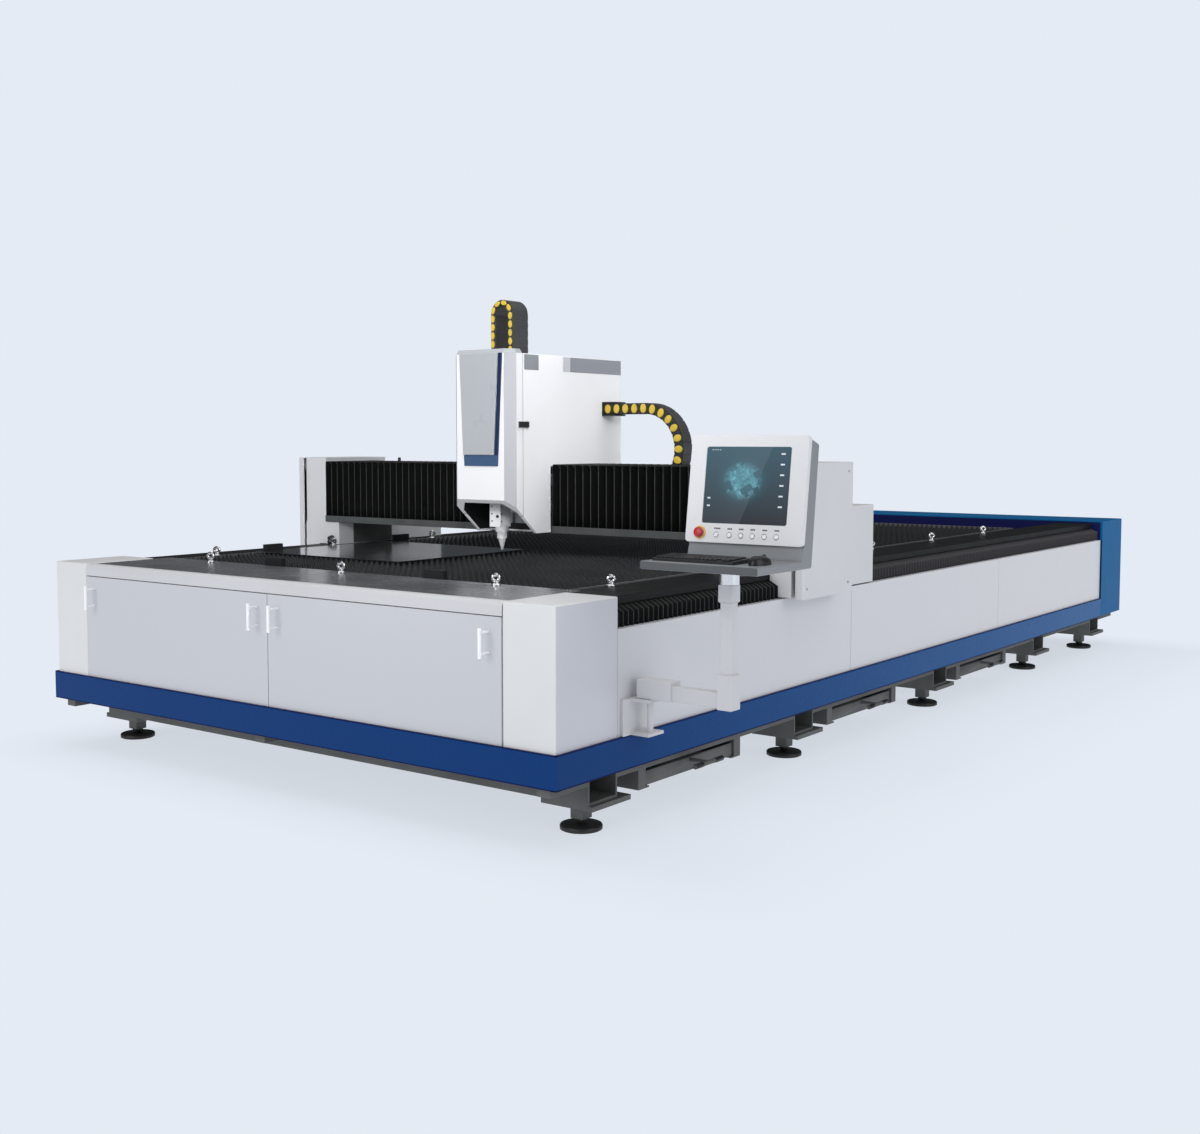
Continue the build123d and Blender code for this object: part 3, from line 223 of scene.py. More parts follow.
def moulded(name, colour, roughness):
    """Moulded plastic with a fine spark-eroded grain."""
    finish = Finish(name, colour, roughness)
    cloud = finish.noise(14.0, 3.0)
    finish.feed("Base Color", finish.mix(cloud, shade(colour, 0.9), shade(colour, 1.12)))
    finish.feed("Roughness", (cloud * 0.1 + (roughness - 0.05)).clamped())
    return finish.bump(finish.noise(900.0, 2.0), 0.0003, 0.3)


def rough_casting(name, colour, roughness=0.6):
    """Painted structural steel: rolled skin, drips and dust on it."""
    finish = Finish(name, colour, roughness)
    cloud = finish.noise(5.0, 5.0, 0.65)
    finish.feed("Base Color", finish.mix(cloud.fade(0.3, 0.75), shade(colour, 0.75),
                                         shade(colour, 1.3)))
    finish.feed("Roughness", (cloud * 0.25 + (roughness - 0.12)).clamped())
    return finish.bump(finish.noise(120.0, 4.0), 0.0012, 0.3)


def folded_cloth(name, dark, edge, specular=0.12):
    """Coated bellows cloth: dark walls, paler in patches along each outward fold, with a weave."""
    finish = Finish(name, dark, 0.62, specular=specular)
    folds = finish.node("UVMap", {"uv_map": "folds"}).outputs[0]
    crest = finish.parts_of(folds)[0].fade(0.93, 0.99)
    crest_patches = finish.noise(35.0, 4.0).fade(0.25, 0.75) * 0.4 + 0.6
    finish.feed("Base Color", finish.mix(crest * crest_patches, dark, edge))
    finish.feed("Roughness", (finish.noise(22.0) * 0.25 + 0.45).clamped())
    weave = finish.node("TexWave", {"wave_type": "BANDS", "bands_direction": "Z"},
                        {"Vector": finish.place, "Scale": 260.0})
    return finish.bump(Wire(finish, weave.outputs[1]) * 0.5 + finish.noise(300.0) * 0.5,
                       0.0005, 0.35)


def display(name):
    """A lit screen: slate ground, a cyan drawing of plates in its middle, a pale glare wedge."""
    low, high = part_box("console_screen")
    finish = Finish(name, (0.012, 0.02, 0.028), 0.12, specular=0.08)
    x, _, z = finish.axes()
    u = (x - low.x) / (high.x - low.x)
    v = (z - low.z) / (high.z - low.z)
    ground = finish.mix(v.fade(0.0, 1.0), (0.018, 0.020, 0.026), (0.03, 0.065, 0.085))
    beside = u - 0.45
    above = v - 0.56
    reach = beside * beside * 5.0 + above * above * 4.5
    glow = 1 - reach.fade(0.0, 0.62)
    ground = finish.mix(glow * glow * 0.5, ground, (0.03, 0.14, 0.18))
    mapped = finish.node("Mapping", inputs={"Vector": finish.place, "Rotation": (0.0, 0.5, 0.0),
                                            "Scale": (42.0, 0.0, 42.0)})
    plates = finish.node("TexVoronoi", {"distance": "CHEBYCHEV"},
                         {"Vector": mapped.outputs[0], "Scale": 1.0, "Randomness": 0.6})
    tone = finish.parts_of(plates.outputs["Color"])[0]
    speck = finish.noise(90.0, 4.0, 0.7)
    patch = (1 - reach.fade(0.1, 0.3)) * (tone > 0.3) * speck.fade(0.3, 0.62)
    ground = finish.mix(patch * tone, ground, (0.12, 0.33, 0.38))
    glare = (u - 0.44 - v * 0.34) < 0.0
    lit = finish.mix(glare * 0.1, ground, (0.5, 0.62, 0.7))
    finish.feed("Base Color", ground)
    finish.feed("Emission Color", lit)
    finish.shader.inputs["Emission Strength"].default_value = 0.48
    return finish


def lit_along_bed(name, near, far, roughness=0.28, specular=0.06):
    """A coat with painted light that changes from the front end to the rear one: the skirt's blue
    is painted greener, and the side panels paler, towards the rear end."""
    finish = Finish(name, near, roughness, specular=specular)
    cloud = finish.noise(1.3, 4.0) * 0.12 - 0.06
    # Painted light: the coat turns paler and greener towards the rear end
    rearwards = finish.axes()[1].fade(FRONT, REAR)
    finish.feed("Base Color", finish.mix((rearwards + cloud).clamped(), near, far))
    return finish.sprayed(roughness)


def recoloured_in_box(name, outside, inside, low, high, roughness=0.36):
    """A coated casing whose parts inside a box are another colour: painted shade on the corner
    posts' side faces and on the console's front face.
    """
    finish = Finish(name, outside, roughness, specular=0.35)
    within = 1.0
    for wire, a, b in zip(finish.axes(), low, high):
        within = wire.band(a, b) * within
    finish.feed("Base Color", finish.mix(within, finish.clouded(outside), inside))
    return finish.sprayed(roughness)


# The head casing: half width, side and front faces, seam, cut corner, sheet, and how far it is
# hollow rearwards and upwards
HEAD_HALF = 0.1875
HEAD_SIDE = HEAD_X + HEAD_HALF
HEAD_FRONT = FRONT + 1.280
HEAD_SEAM = FRONT + 1.371
HEAD_CHIN = 1.152
CHIN_SLOPE = 0.162 / 0.193
CORNER_CUT = 0.0425
HEAD_SKIN = 0.003
HOLLOW_REACH = 0.2955
HOLLOW_FOOT = 0.9965
HOLLOW_TOP = 1.838


def head_casing():
    """White casing of the head with painted shade: nearly black on its inner faces, which lie more
    than a sheet's thickness in from the sides, the cut corners and the sloping foot, grey at the
    seam's gap, and a darker grey on the cut corners."""
    roughness = 0.36
    finish = Finish("head_casing_coat", (0.90, 0.90, 0.905), roughness, specular=0.35)
    x, y, z = finish.axes()
    beside = HEAD_HALF - (x - HEAD_X).absolute()
    ahead = y - HEAD_FRONT
    foot = z - HEAD_CHIN + ahead * CHIN_SLOPE
    # Painted shade: the hollow's inner faces are painted nearly black
    inner = (beside > HEAD_SKIN) * ahead.band(HEAD_SKIN, HOLLOW_REACH)
    inner = inner * ((beside + ahead) > CORNER_CUT + HEAD_SKIN)
    inner = inner * (foot > 0.007) * z.band(HOLLOW_FOOT, HOLLOW_TOP)
    # Painted shade: a grey line in the gap at the seam between lid and housing
    seam = (y - HEAD_SEAM).absolute() < 0.0022
    # Painted shade: the cut corner faces get a darker grey
    corner = ((beside + ahead) < CORNER_CUT) * (ahead > 0.0006)
    cloud = finish.noise(1.3, 4.0)
    white = finish.mix(cloud.fade(0.3, 0.7), (0.87, 0.87, 0.875), (0.93, 0.93, 0.935))
    white = finish.mix(seam * 0.7, white, (0.25, 0.25, 0.26))
    white = finish.mix(corner, white, (0.46, 0.465, 0.485))
    finish.feed("Base Color", finish.mix(inner, white, (0.015, 0.015, 0.016)))
    return finish.sprayed(roughness)


WHITE = powder_coat("white_powder_coat", (0.60, 0.60, 0.605))
# Corner posts: painted shade, a darker blue-grey on their faces along the +X side of the bed
POSTS = recoloured_in_box("corner_post_coat", (0.71, 0.71, 0.70), (0.56, 0.565, 0.60),
                  (RIGHT - 0.0135, FRONT, 0.0), (RIGHT, 0.0, 0.866))
BEZEL = powder_coat("bezel_coat", (0.69, 0.69, 0.695))
BRIGHT = powder_coat("bright_coat", (0.93, 0.93, 0.93))
HEAD_WHITE = head_casing()
PANEL = lit_along_bed("grey_powder_coat", (0.565, 0.57, 0.59), (0.72, 0.70, 0.71), 0.33, 0.35)
BLUE = lit_along_bed("blue_skirt_coat", (0.006, 0.042, 0.165), (0.008, 0.105, 0.30))
REAR_BLUE = powder_coat("blue_end_coat", (0.004, 0.115, 0.29), 0.3, specular=0.02)
NAVY = powder_coat("navy_coat", (0.010, 0.012, 0.075), 0.3, specular=0.06)
UNDERFRAME = rough_casting("underframe_paint", (0.10, 0.103, 0.098))
PLATE = bare_steel("dark_polished_plate", (0.29, 0.295, 0.305), 0.24, (0.03, 1, 1), 0.6)
COVER = powder_coat("guide_cover_coat", (0.014, 0.015, 0.015), 0.45, specular=0.08)
FEET = rough_casting("blackened_feet", (0.012, 0.012, 0.012), 0.5)
SLATS = bare_steel("cut_slat_steel", (0.052, 0.055, 0.055), 0.5, (0.05, 1, 1), 0.5)
RIM = bare_steel("table_rim_steel", (0.16, 0.16, 0.163), 0.45, (1, 0.05, 1), 0.5)
SHEET = bare_steel("mirror_sheet_steel", (0.62, 0.64, 0.65), 0.14, (1, 0.03, 1))
GROUND = bare_steel("ground_rail_steel", (0.48, 0.49, 0.51), 0.3, (1, 0.04, 1))
CHROME = bare_steel("polished_chrome", (0.90, 0.91, 0.92), 0.16, (1, 1, 0.2))
NICKEL = bare_steel("turned_nickel", (0.95, 0.95, 0.94), 0.34, (1, 1, 8), 0.45)
BELLOWS = folded_cloth("bellows_cloth", (0.0035, 0.0038, 0.0036), (0.05, 0.052, 0.05))
# Painted light: the two halves of the Y bellows are one cloth in two copies, this front one darker
FRONT_BELLOWS = folded_cloth("front_bellows_cloth", (0.010, 0.011, 0.0105),
                             (0.065, 0.068, 0.066))
TRAY = rough_casting("tray_coat", (0.06, 0.066, 0.063), 0.5)
# Painted light: the rear half of the Y bellows, a paler and glossier copy of the same cloth
REAR_BELLOWS = folded_cloth("side_bellows_cloth", (0.044, 0.042, 0.045), (0.09, 0.087, 0.092),
                            0.3)
BLACK = moulded("black_moulding", (0.011, 0.011, 0.012), 0.4)
CHAIN = moulded("chain_moulding", (0.008, 0.008, 0.008), 0.5)
CHAIN_BACK = moulded("chain_back_moulding", (0.05, 0.05, 0.053), 0.42)
YELLOW = moulded("yellow_link_caps", (0.66, 0.47, 0.03), 0.4)
GREY_TRIM = powder_coat("grey_trim_coat", (0.29, 0.30, 0.325), 0.35)
FASCIA = powder_coat("fascia_coat", (0.44, 0.455, 0.475), 0.3)
TRIM_BLUE = recoloured_in_box("trim_blue_coat", (0.045, 0.095, 0.19), (0.006, 0.020, 0.07),
                      (-1.0, -4.0, 1.3635), (1.0, 0.0, 1.9))
tray_low, tray_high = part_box("console_housing")
# Console housing: painted shade, a darker grey on its front face
CONSOLE_GREY = recoloured_in_box("console_grey_coat", (0.235, 0.248, 0.257), (0.09, 0.096, 0.10),
                         (tray_low.x, tray_low.y - 0.01, tray_low.z),
                         (tray_high.x, tray_low.y + 0.002, tray_high.z), 0.42)
DRIVE = rough_casting("cast_drive_grey", (0.20, 0.21, 0.22), 0.45)
SCREEN = display("screen_picture")
STOP_RED = moulded("stop_red", (0.50, 0.02, 0.03), 0.3)
STOP_YELLOW = moulded("stop_yellow", (0.78, 0.48, 0.06), 0.35)
BUTTON = moulded("button_white", (0.82, 0.82, 0.82), 0.25)
ICON = moulded("icon_white", (0.70, 0.74, 0.76), 0.4)
INK = moulded("mark_ink", (0.03, 0.03, 0.035), 0.6)


def grid_faces(rows, columns, close_rows=False, close_columns=False):
    """Quads over a grid of points that is numbered row by row."""
    r = np.arange(rows if close_rows else rows - 1)
    c = np.arange(columns if close_columns else columns - 1)
    r, c = np.meshgrid(r, c, indexing="ij")
    below = (r + 1) % rows
    beside = (c + 1) % columns
    return np.stack([r * columns + c, r * columns + beside, below * columns + beside,
                     below * columns + c], axis=-1).reshape(-1, 4).tolist()


def tube_faces(rows, columns):
    """Quads round a tube of rows of points, and last of all a face over either end."""
    faces = grid_faces(rows, columns, close_columns=True)
    return faces + [list(range(columns)), list(range((rows - 1) * columns, rows * columns))]


def together(*shapes):
    """Several shapes, each points and faces, as one."""
    points, faces, start = [], [], 0
    for p, f in shapes:
        points.append(np.asarray(p, float).reshape(-1, 3))
        faces.extend([[i + start for i in face] for face in f])
        start += len(points[-1])
    return np.concatenate(points), faces


def repeated(shape, offsets):
    """One shape copied to each offset."""
    points, faces = shape
    offsets = np.asarray(offsets, float).reshape(-1, 3)
    every = (points[None, :, :] + offsets[:, None, :]).reshape(-1, 3)
    count = len(points)
    return every, [[i + k * count for i in face] for k in range(len(offsets)) for face in faces]


def turned(shape, angle):
    """A shape turned about Z."""
    points, faces = shape
    x, y, z = points.T
    return np.stack([x * cos(angle) - y * sin(angle), x * sin(angle) + y * cos(angle), z],
                    axis=-1), faces


def stood(round_z, centre, axis):
    """Grids of x, y and z of a form round Z, as points of the same form round another axis."""
    order = {"Z": (0, 1, 2), "X": (2, 0, 1), "Y": (1, 2, 0)}[axis]
    return np.stack([round_z[k] for k in order], axis=-1).reshape(-1, 3) + np.asarray(centre)


def lathe(profile, centre, axis="Z", segments=32):
    """A profile of (radius, height) turned round an axis: (r cos t, r sin t, h), poles closed."""
    profile = np.asarray(profile, float)
    t = np.linspace(0, 2 * pi, segments, endpoint=False)
    r, h = profile[:, 0:1], profile[:, 1:2]
    points = stood([r * np.cos(t), r * np.sin(t), h + 0 * t], centre, axis)
    return points, tube_faces(len(profile), segments)


def ring(major, minor, centre, axis="Z", segments=32, sides=12):
    """A torus: ((R + r cos s) cos t, (R + r cos s) sin t, r sin s)."""
    t = np.linspace(0, 2 * pi, segments, endpoint=False)[:, None]
    s = np.linspace(0, 2 * pi, sides, endpoint=False)[None, :]
    reach = major + minor * np.cos(s)
    points = stood([reach * np.cos(t), reach * np.sin(t), minor * np.sin(s) + 0 * t], centre, axis)
    return points, grid_faces(segments, sides, True, True)


def soft_block(low, high, radius, steps=3):
    """A block with every edge rounded: its outline is a rounded rectangle that shrinks by
    r (1 - cos p) and rises by r sin p at both ends, with p from 0 to a quarter turn."""
    low, high = np.minimum(low, high), np.maximum(low, high)
    radius = min(radius, 0.49 * float((high - low).min()))
    turn = np.concatenate([np.linspace(q * pi / 2, (q + 1) * pi / 2, steps + 1)
                           for q in range(4)])
    corner = np.repeat(np.array([[1, 1], [-1, 1], [-1, -1], [1, -1]]), steps + 1, axis=0)
    middle = (low + high) / 2
    core = (high - low) / 2 - radius
    rise = np.linspace(0, pi / 2, steps + 1)
    rows = [(-core[2] - radius * sin(p), radius * cos(p)) for p in rise[::-1]]
    rows += [(core[2] + radius * sin(p), radius * cos(p)) for p in rise]
    points = np.stack([np.stack([middle[0] + corner[:, 0] * core[0] + w * np.cos(turn),
                                 middle[1] + corner[:, 1] * core[1] + w * np.sin(turn),
                                 np.full(len(turn), middle[2] + z)], axis=-1)
                       for z, w in rows]).reshape(-1, 3)
    return points, tube_faces(len(rows), len(turn))


def prism(outline, low, high):
    """An outline of (y, z) points carried straight along X, closed at both ends."""
    points = [(level, y, z) for level in (low, high) for y, z in outline]
    return points, tube_faces(2, len(outline))


# The console's upright face before it is leaned back: left end, plane and foot of the bezel
BEZEL_LEFT = 1.427
BEZEL_FACE = FRONT + 0.450
BEZEL_FOOT = 1.078


def on_screen_face(shape):
    """Leans a shape drawn upright at the bezel's foot back onto the console's face."""
    points, faces = shape
    foot = np.array([0.0, BEZEL_FACE, BEZEL_FOOT])
    moved = np.asarray(points, float) - foot
    y, z = moved[:, 1].copy(), moved[:, 2].copy()
    moved[:, 1] = y * cos(LEAN) + z * sin(LEAN)
    moved[:, 2] = z * cos(LEAN) - y * sin(LEAN)
    return moved + foot, faces


def finish_mesh(mesh, sharp=35.0):
    """Merges doubles, points the faces outwards and marks the sharp edges."""
    work = bmesh.new()
    work.from_mesh(mesh)
    bmesh.ops.remove_doubles(work, verts=work.verts, dist=1e-6)
    bmesh.ops.recalc_face_normals(work, faces=work.faces)
    work.to_mesh(mesh)
    work.free()
    mesh.polygons.foreach_set("use_smooth", [True] * len(mesh.polygons))
    mesh.set_sharp_from_angle(angle=radians(sharp))
    mesh.update()


def piece(name, shape, finish, body, replaces=(), sharp=35.0, closed=True):
    """A new piece of the machine from points and faces, riding on a body."""
    points, faces = shape
    mesh = bpy.data.meshes.new(name)
    mesh.from_pydata(np.asarray(points, float).reshape(-1, 3).tolist(), [], faces)
    if closed:
        finish_mesh(mesh, sharp)
    mesh.materials.append(finish.material)
    made = bpy.data.objects.new(name, mesh)
    bpy.context.scene.collection.objects.link(made)
    if body:
        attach(made, body)
    if replaces:
        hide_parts(*replaces)
    return made


def flat_regions(work, limit=radians(0.6)):
    """The inner edges of each flat patch of faces that has no hole in it, that is, whose
    corners less its edges plus its faces come to 1, and that fills much of its box. A patch
    round a hole, or one that only borders an opening, keeps its triangles."""
    seen = set()
    for first in work.faces:
        if first in seen:
            continue
        seen.add(first)
        patch, waiting, inner = [], [first], set()
        while waiting:
            face = waiting.pop()
            patch.append(face)
            for edge in face.edges:
                if len(edge.link_faces) != 2:
                    continue
                other = edge.link_faces[0] if edge.link_faces[1] is face else edge.link_faces[1]
                if first.normal.angle(other.normal, 4.0) > limit:
                    continue
                inner.add(edge)
                if other not in seen:
                    seen.add(other)
                    waiting.append(other)
        members = set(patch)
        edges = {edge for face in patch for edge in face.edges}
        corners = {corner for face in patch for corner in face.verts}
        spots = np.array([corner.co[:] for corner in corners])
        wide = np.sort(spots.max(axis=0) - spots.min(axis=0))
        filled = sum(face.calc_area() for face in patch) > 0.35 * wide[1] * wide[2]
        if filled and len(corners) - len(edges) + len(patch) == 1:
            yield [edge for edge in inner if members.issuperset(edge.link_faces)]


def dressed(node, finish, body, width, slot, name=None):
    """A CAD node's own form with its folded edges rounded off."""
    name = name or node + "_skin"
    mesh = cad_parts[node].data.copy()
    mesh.name = name
    mesh.materials.clear()
    mesh.materials.append(finish.material)
    work = bmesh.new()
    work.from_mesh(mesh)
    bmesh.ops.remove_doubles(work, verts=work.verts, dist=1e-5)
    inner = [edge for region in flat_regions(work) for edge in region]
    bmesh.ops.dissolve_edges(work, edges=inner, use_verts=True, use_face_split=False)
    work.to_mesh(mesh)
    work.free()
    mesh.polygons.foreach_set("material_index", [0] * len(mesh.polygons))
    mesh.polygons.foreach_set("use_smooth", [True] * len(mesh.polygons))
    mesh.set_sharp_from_angle(angle=radians(35))
    made = bpy.data.objects.new(name, mesh)
    bpy.context.scene.collection.objects.link(made)
    bevel = made.modifiers.new("edges", "BEVEL")
    bevel.width = width
    bevel.segments = 2
    bevel.limit_method = "ANGLE"
    bevel.angle_limit = radians(40)
    bevel.harden_normals = True
    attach(made, body)
    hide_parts(node)


def paint(node, finish):
    """Gives a CAD node that stays a finish of its own."""
    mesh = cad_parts[node].data
    mesh.materials.clear()
    mesh.materials.append(finish.material)


# CAD forms that keep their shape and get rounded edges: node, finish, body, edge width, slot
for row in (
        ("bed_frame", UNDERFRAME, "bed", 0.003, "frame_grey"),
        ("skirt", BLUE, "bed", 0.005, "skirt_blue"),
        ("rear_end_panel", REAR_BLUE, "bed", 0.005, "rear_blue"),
        ("corner_posts", POSTS, "bed", 0.003, "casing_white"),
        ("front_top_rail", WHITE, "bed", 0.002, "casing_white"),
        ("front_top_plate", PLATE, "bed", 0.0015, "dark_plate"),
        ("side_panels", PANEL, "bed", 0.002, "panel"),
        ("guide_covers", COVER, "bed", 0.002, "dark_plate"),
        ("table_frame", RIM, "bed", 0.001, "slat_steel"),
        ("stop_blocks", BLACK, "bed", 0.003, "black_plastic"),
        ("wall_bracket", WHITE, "bed", 0.002, "casing_white"),
        ("gantry_beam", TRAY, "gantry", 0.004, "frame_grey"),
        ("gantry_legs", WHITE, "gantry", 0.004, "casing_white"),
        ("gantry_end_covers", WHITE, "gantry", 0.003, "casing_white"),
        ("gantry_trays", TRAY, "gantry", 0.001, "casing_white"),
        ("y_carriages", GROUND, "gantry", 0.002, "guide_steel"),
        ("y_drives", DRIVE, "gantry", 0.002, "drive_grey"),
        ("head_housing", HEAD_WHITE, "head_carriage", 0.002, "casing_white"),
        ("head_front_cover", HEAD_WHITE, "head_lid", 0.002, "casing_white"),
        ("head_fascia", FASCIA, "head_lid", 0.003, "fascia_grey"),
        ("head_blue_trim", TRIM_BLUE, "head_lid", 0.0015, "skirt_blue"),
        ("head_latch", BLACK, "head_catch", 0.002, "black_plastic"),
        ("chain_brackets", BLACK, "head_carriage", 0.001, "frame_grey"),
        ("x_carriage", GROUND, "head_carriage", 0.002, "guide_steel"),
        ("z_drive", DRIVE, "head_carriage", 0.002, "drive_grey"),
        ("front_drawer_left", PANEL, "front_drawer_left", 0.002, "panel"),
        ("front_drawer_right", PANEL, "front_drawer_right", 0.002, "panel"),
        ("front_handles_left", BRIGHT, "front_drawer_left", 0.002, "casing_white"),
        ("front_handles_right", BRIGHT, "front_drawer_right", 0.002, "casing_white"),
        ("scrap_drawer_1", UNDERFRAME, "scrap_drawer_1", 0.002, "frame_grey"),
        ("scrap_drawer_2", UNDERFRAME, "scrap_drawer_2", 0.002, "frame_grey"),
        ("scrap_drawer_3", UNDERFRAME, "scrap_drawer_3", 0.002, "frame_grey"),
        ("console_arm", WHITE, "console_arm", 0.004, "casing_white"),
        ("console_housing", CONSOLE_GREY, "console", 0.006, "console_grey"),
        ("console_bezel", BEZEL, "console", 0.0035, "casing_white")):
    dressed(*row)

for node, finish in (("y_guide_rails", GROUND), ("x_guide_rails", GROUND),
                     ("work_sheet", SHEET), ("swivel_collar", CHROME),
                     ("console_screen", SCREEN), ("nozzle", NICKEL)):
    paint(node, finish)


# Share of a fold's run that its flat crest takes up
CREST = 0.06


def bellows(name, path, depth, start, end, pitch):
    """A folded cover: along its run u the cloth zigzags between a fold line and a root, and
    across it follows a path of (point, inward way) pairs: p(u, s) = path(s) + in(s) d f(u),
    where f is a triangle wave from 0 at each outward fold to 1 at each inward one."""
    count = max(2, round(abs(end - start) / pitch))
    step = (end - start) / count
    phase = np.array([0.0, CREST / 2, 0.5, 1 - CREST / 2])
    u = (np.arange(count)[:, None] + phase[None, :]).ravel()
    u = np.append(u, count)
    fold = 1 - np.abs(1 - (u % 1.0) * 2)
    fold = np.clip((fold - CREST) / (1 - CREST), 0, 1)
    run = start + u * step
    points = np.zeros((len(u), len(path), 3))
    for k, (y, z, inward_y, inward_z) in enumerate(path):
        points[:, k, 0] = run
        points[:, k, 1] = y + inward_y * depth * fold
        points[:, k, 2] = z + inward_z * depth * fold
    mesh = bpy.data.meshes.new(name)
    mesh.from_pydata(points.reshape(-1, 3).tolist(), [], grid_faces(len(u), len(path)))
    layer = mesh.uv_layers.new(name="folds")
    index = np.zeros(len(mesh.loops), int)
    mesh.loops.foreach_get("vertex_index", index)
    crest = 1 - np.repeat(fold, len(path))
    level = np.tile(np.linspace(0, 1, len(path)), len(u))
    layer.data.foreach_set("uv", np.stack([crest[index], level[index]], axis=-1).ravel())
    return mesh


def hang_bellows(node, mesh, finish):
    """Links a bellows mesh and gives the cloth its thickness."""
    mesh.materials.append(finish.material)
    mesh.set_sharp_from_angle(angle=radians(20))
    made = bpy.data.objects.new(f"{node}_cloth", mesh)
    bpy.context.scene.collection.objects.link(made)
    cloth = made.modifiers.new("cloth", "SOLIDIFY")
    cloth.thickness = 0.0015
    cloth.offset = -1.0
    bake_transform(made)
    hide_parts(node)


# X bellows, from each column to the head: up the front, over the corner and back over the beam
for side in ("left", "right"):
    low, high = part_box(f"x_bellows_{side}")
    y, top, back = low.y, high.z - 0.001, high.y
    path = [(y, low.z + 0.001, 1, 0), (y, low.z + 0.11, 1, 0), (y, top - 0.16, 1, 0),
            (y, top - 0.032, 1, 0), (y + 0.001, top - 0.003, 0.1, 0),
            (y + 0.008, top, 0, -0.1), (y + 0.1, top, 0, -0.25), (back, top, 0, -0.25)]
    first, last = ("gantry", "head_carriage") if side == "left" else ("head_carriage", "gantry")
    mesh = bellows(f"x_bellows_{side}_cloth", path, 0.038, low.x, high.x, 0.045)
    if mesh.polygons[0].normal.y > 0:
        mesh.flip_normals()
    hang_bellows(f"x_bellows_{side}", mesh, BELLOWS)

# Y bellows, on both long sides: an upright pleated face whose folds end in slanted tops
for part, first, last in (("front", "bed", "gantry"), ("rear", "gantry", "bed")):
    low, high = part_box(f"y_bellows_{part}")
    joined = []
    for way, outer in ((1, high.x), (-1, low.x)):
        path = [(outer, low.z + 0.001, -way, 0), (outer, low.z + 0.02, -way, 0),
                (outer, high.z - 0.022, -way, 0), (outer - way * 0.0405, high.z - 0.0005, 0, 0)]
        mesh = bellows("cloth", path, 0.0405, low.y, high.y, 0.033)
        swap = np.zeros(len(mesh.vertices) * 3)
        mesh.vertices.foreach_get("co", swap)
        swap = swap.reshape(-1, 3)[:, [1, 0, 2]]
        mesh.vertices.foreach_set("co", swap.ravel())
        mesh.update()
        if mesh.polygons[0].normal.x * way < 0:
            mesh.flip_normals()
        joined.append(mesh)
    work = bmesh.new()
    work.from_mesh(joined[0])
    work.from_mesh(joined[1])
    work.to_mesh(joined[0])
    work.free()
    finish = FRONT_BELLOWS if part == "front" else REAR_BELLOWS
    hang_bellows(f"y_bellows_{part}", joined[0], finish)


# Slats: pointed strips with curved hollows between the points
low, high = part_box("support_slats")
SLAT_COUNT = 62
SLAT_THICK = 0.005
TEETH = 68
slat_step = (high.y - low.y - SLAT_THICK) / (SLAT_COUNT - 1)
tooth = (high.x - low.x) / TEETH
phase = np.array([0.0, 0.06, 0.28, 0.5, 0.72, 0.94])
depth = np.array([0.0, 0.0, 0.016, 0.022, 0.016, 0.0])
saw_x = np.append(low.x + ((np.arange(TEETH)[:, None] + phase[None, :]) * tooth).ravel(), high.x)
saw_z = np.append(high.z - np.tile(depth, TEETH), high.z)
columns = len(saw_x)
slat = np.zeros((4, columns, 3))
slat[:, :, 0] = saw_x
slat[0, :, 2] = slat[3, :, 2] = low.z
slat[1, :, 2] = slat[2, :, 2] = saw_z
slat[2:, :, 1] = SLAT_THICK
slat_offsets = [(0, low.y + slat_step * k, 0) for k in range(SLAT_COUNT)]
piece("table_slats", repeated((slat.reshape(-1, 3), grid_faces(4, columns, close_rows=True)),
                              slat_offsets), SLATS, "bed", ("support_slats",))

# Lifting eyes: a flange, a waisted neck and a thick ring
eye_shape = together(
    lathe([(0.0, 0), (0.019, 0), (0.019, 0.005), (0.016, 0.008), (0.009, 0.011), (0.0085, 0.018),
           (0.011, 0.022), (0.0, 0.022)], (0, 0, 0), segments=20),
    turned(ring(0.0125, 0.0068, (0, 0, 0.030), "X", 24, 10), radians(-50)))
DECK = 0.868
COVER_TOP = 0.860
MIDDLE = (LEFT + RIGHT) / 2
FRONT_EYE_PITCH = 0.873
SIDE_EYE_PITCH = 0.775
SIDE_EYE_INSET = 0.290
eye_places = [(MIDDLE + FRONT_EYE_PITCH * i, FRONT + 0.418, DECK) for i in (-1, 0, 1)]
eye_places += [(x, FRONT + 0.72 + SIDE_EYE_PITCH * i, COVER_TOP) for i in range(6)
               for x in (RIGHT - SIDE_EYE_INSET, LEFT + SIDE_EYE_INSET)]
piece("lifting_eyes", repeated(eye_shape, eye_places), CHROME, "bed",
      ("eye_bolts",))

# Feet: a thick dished disc, a threaded stud and its jam nut
thread = [(0.0135 + 0.0012 * (k % 2), 0.026 + 0.0016 * k) for k in range(10)]
foot_profile = [(0.0, 0.0), (0.074, 0.0), (0.0795, 0.003), (0.08, 0.008), (0.08, 0.016),
                (0.077, 0.0205), (0.071, 0.0225), (0.04, 0.0235), (0.026, 0.025),
                (0.0135, 0.0255)] + thread + [(0.0135, 0.0425), (0.0, 0.0425)]
FOOT_PITCH = 1.53
FOOT_INSET = 0.15
stations = [FRONT + 0.34 + FOOT_PITCH * i for i in range(4)] + [FRONT + 6.03]
foot_places = [(x, y, 0) for y in stations for x in (RIGHT - FOOT_INSET, LEFT + FOOT_INSET)]
nut = [(0.0, 0.033), (0.024, 0.033), (0.0245, 0.034), (0.0245, 0.0415), (0.0, 0.0415)]
piece("levelling_pads", repeated(together(lathe(foot_profile, (0, 0, 0), segments=40),
                                          lathe(nut, (0, 0, 0), segments=6)), foot_places),
      FEET, "bed", ("levelling_feet",), sharp=40)


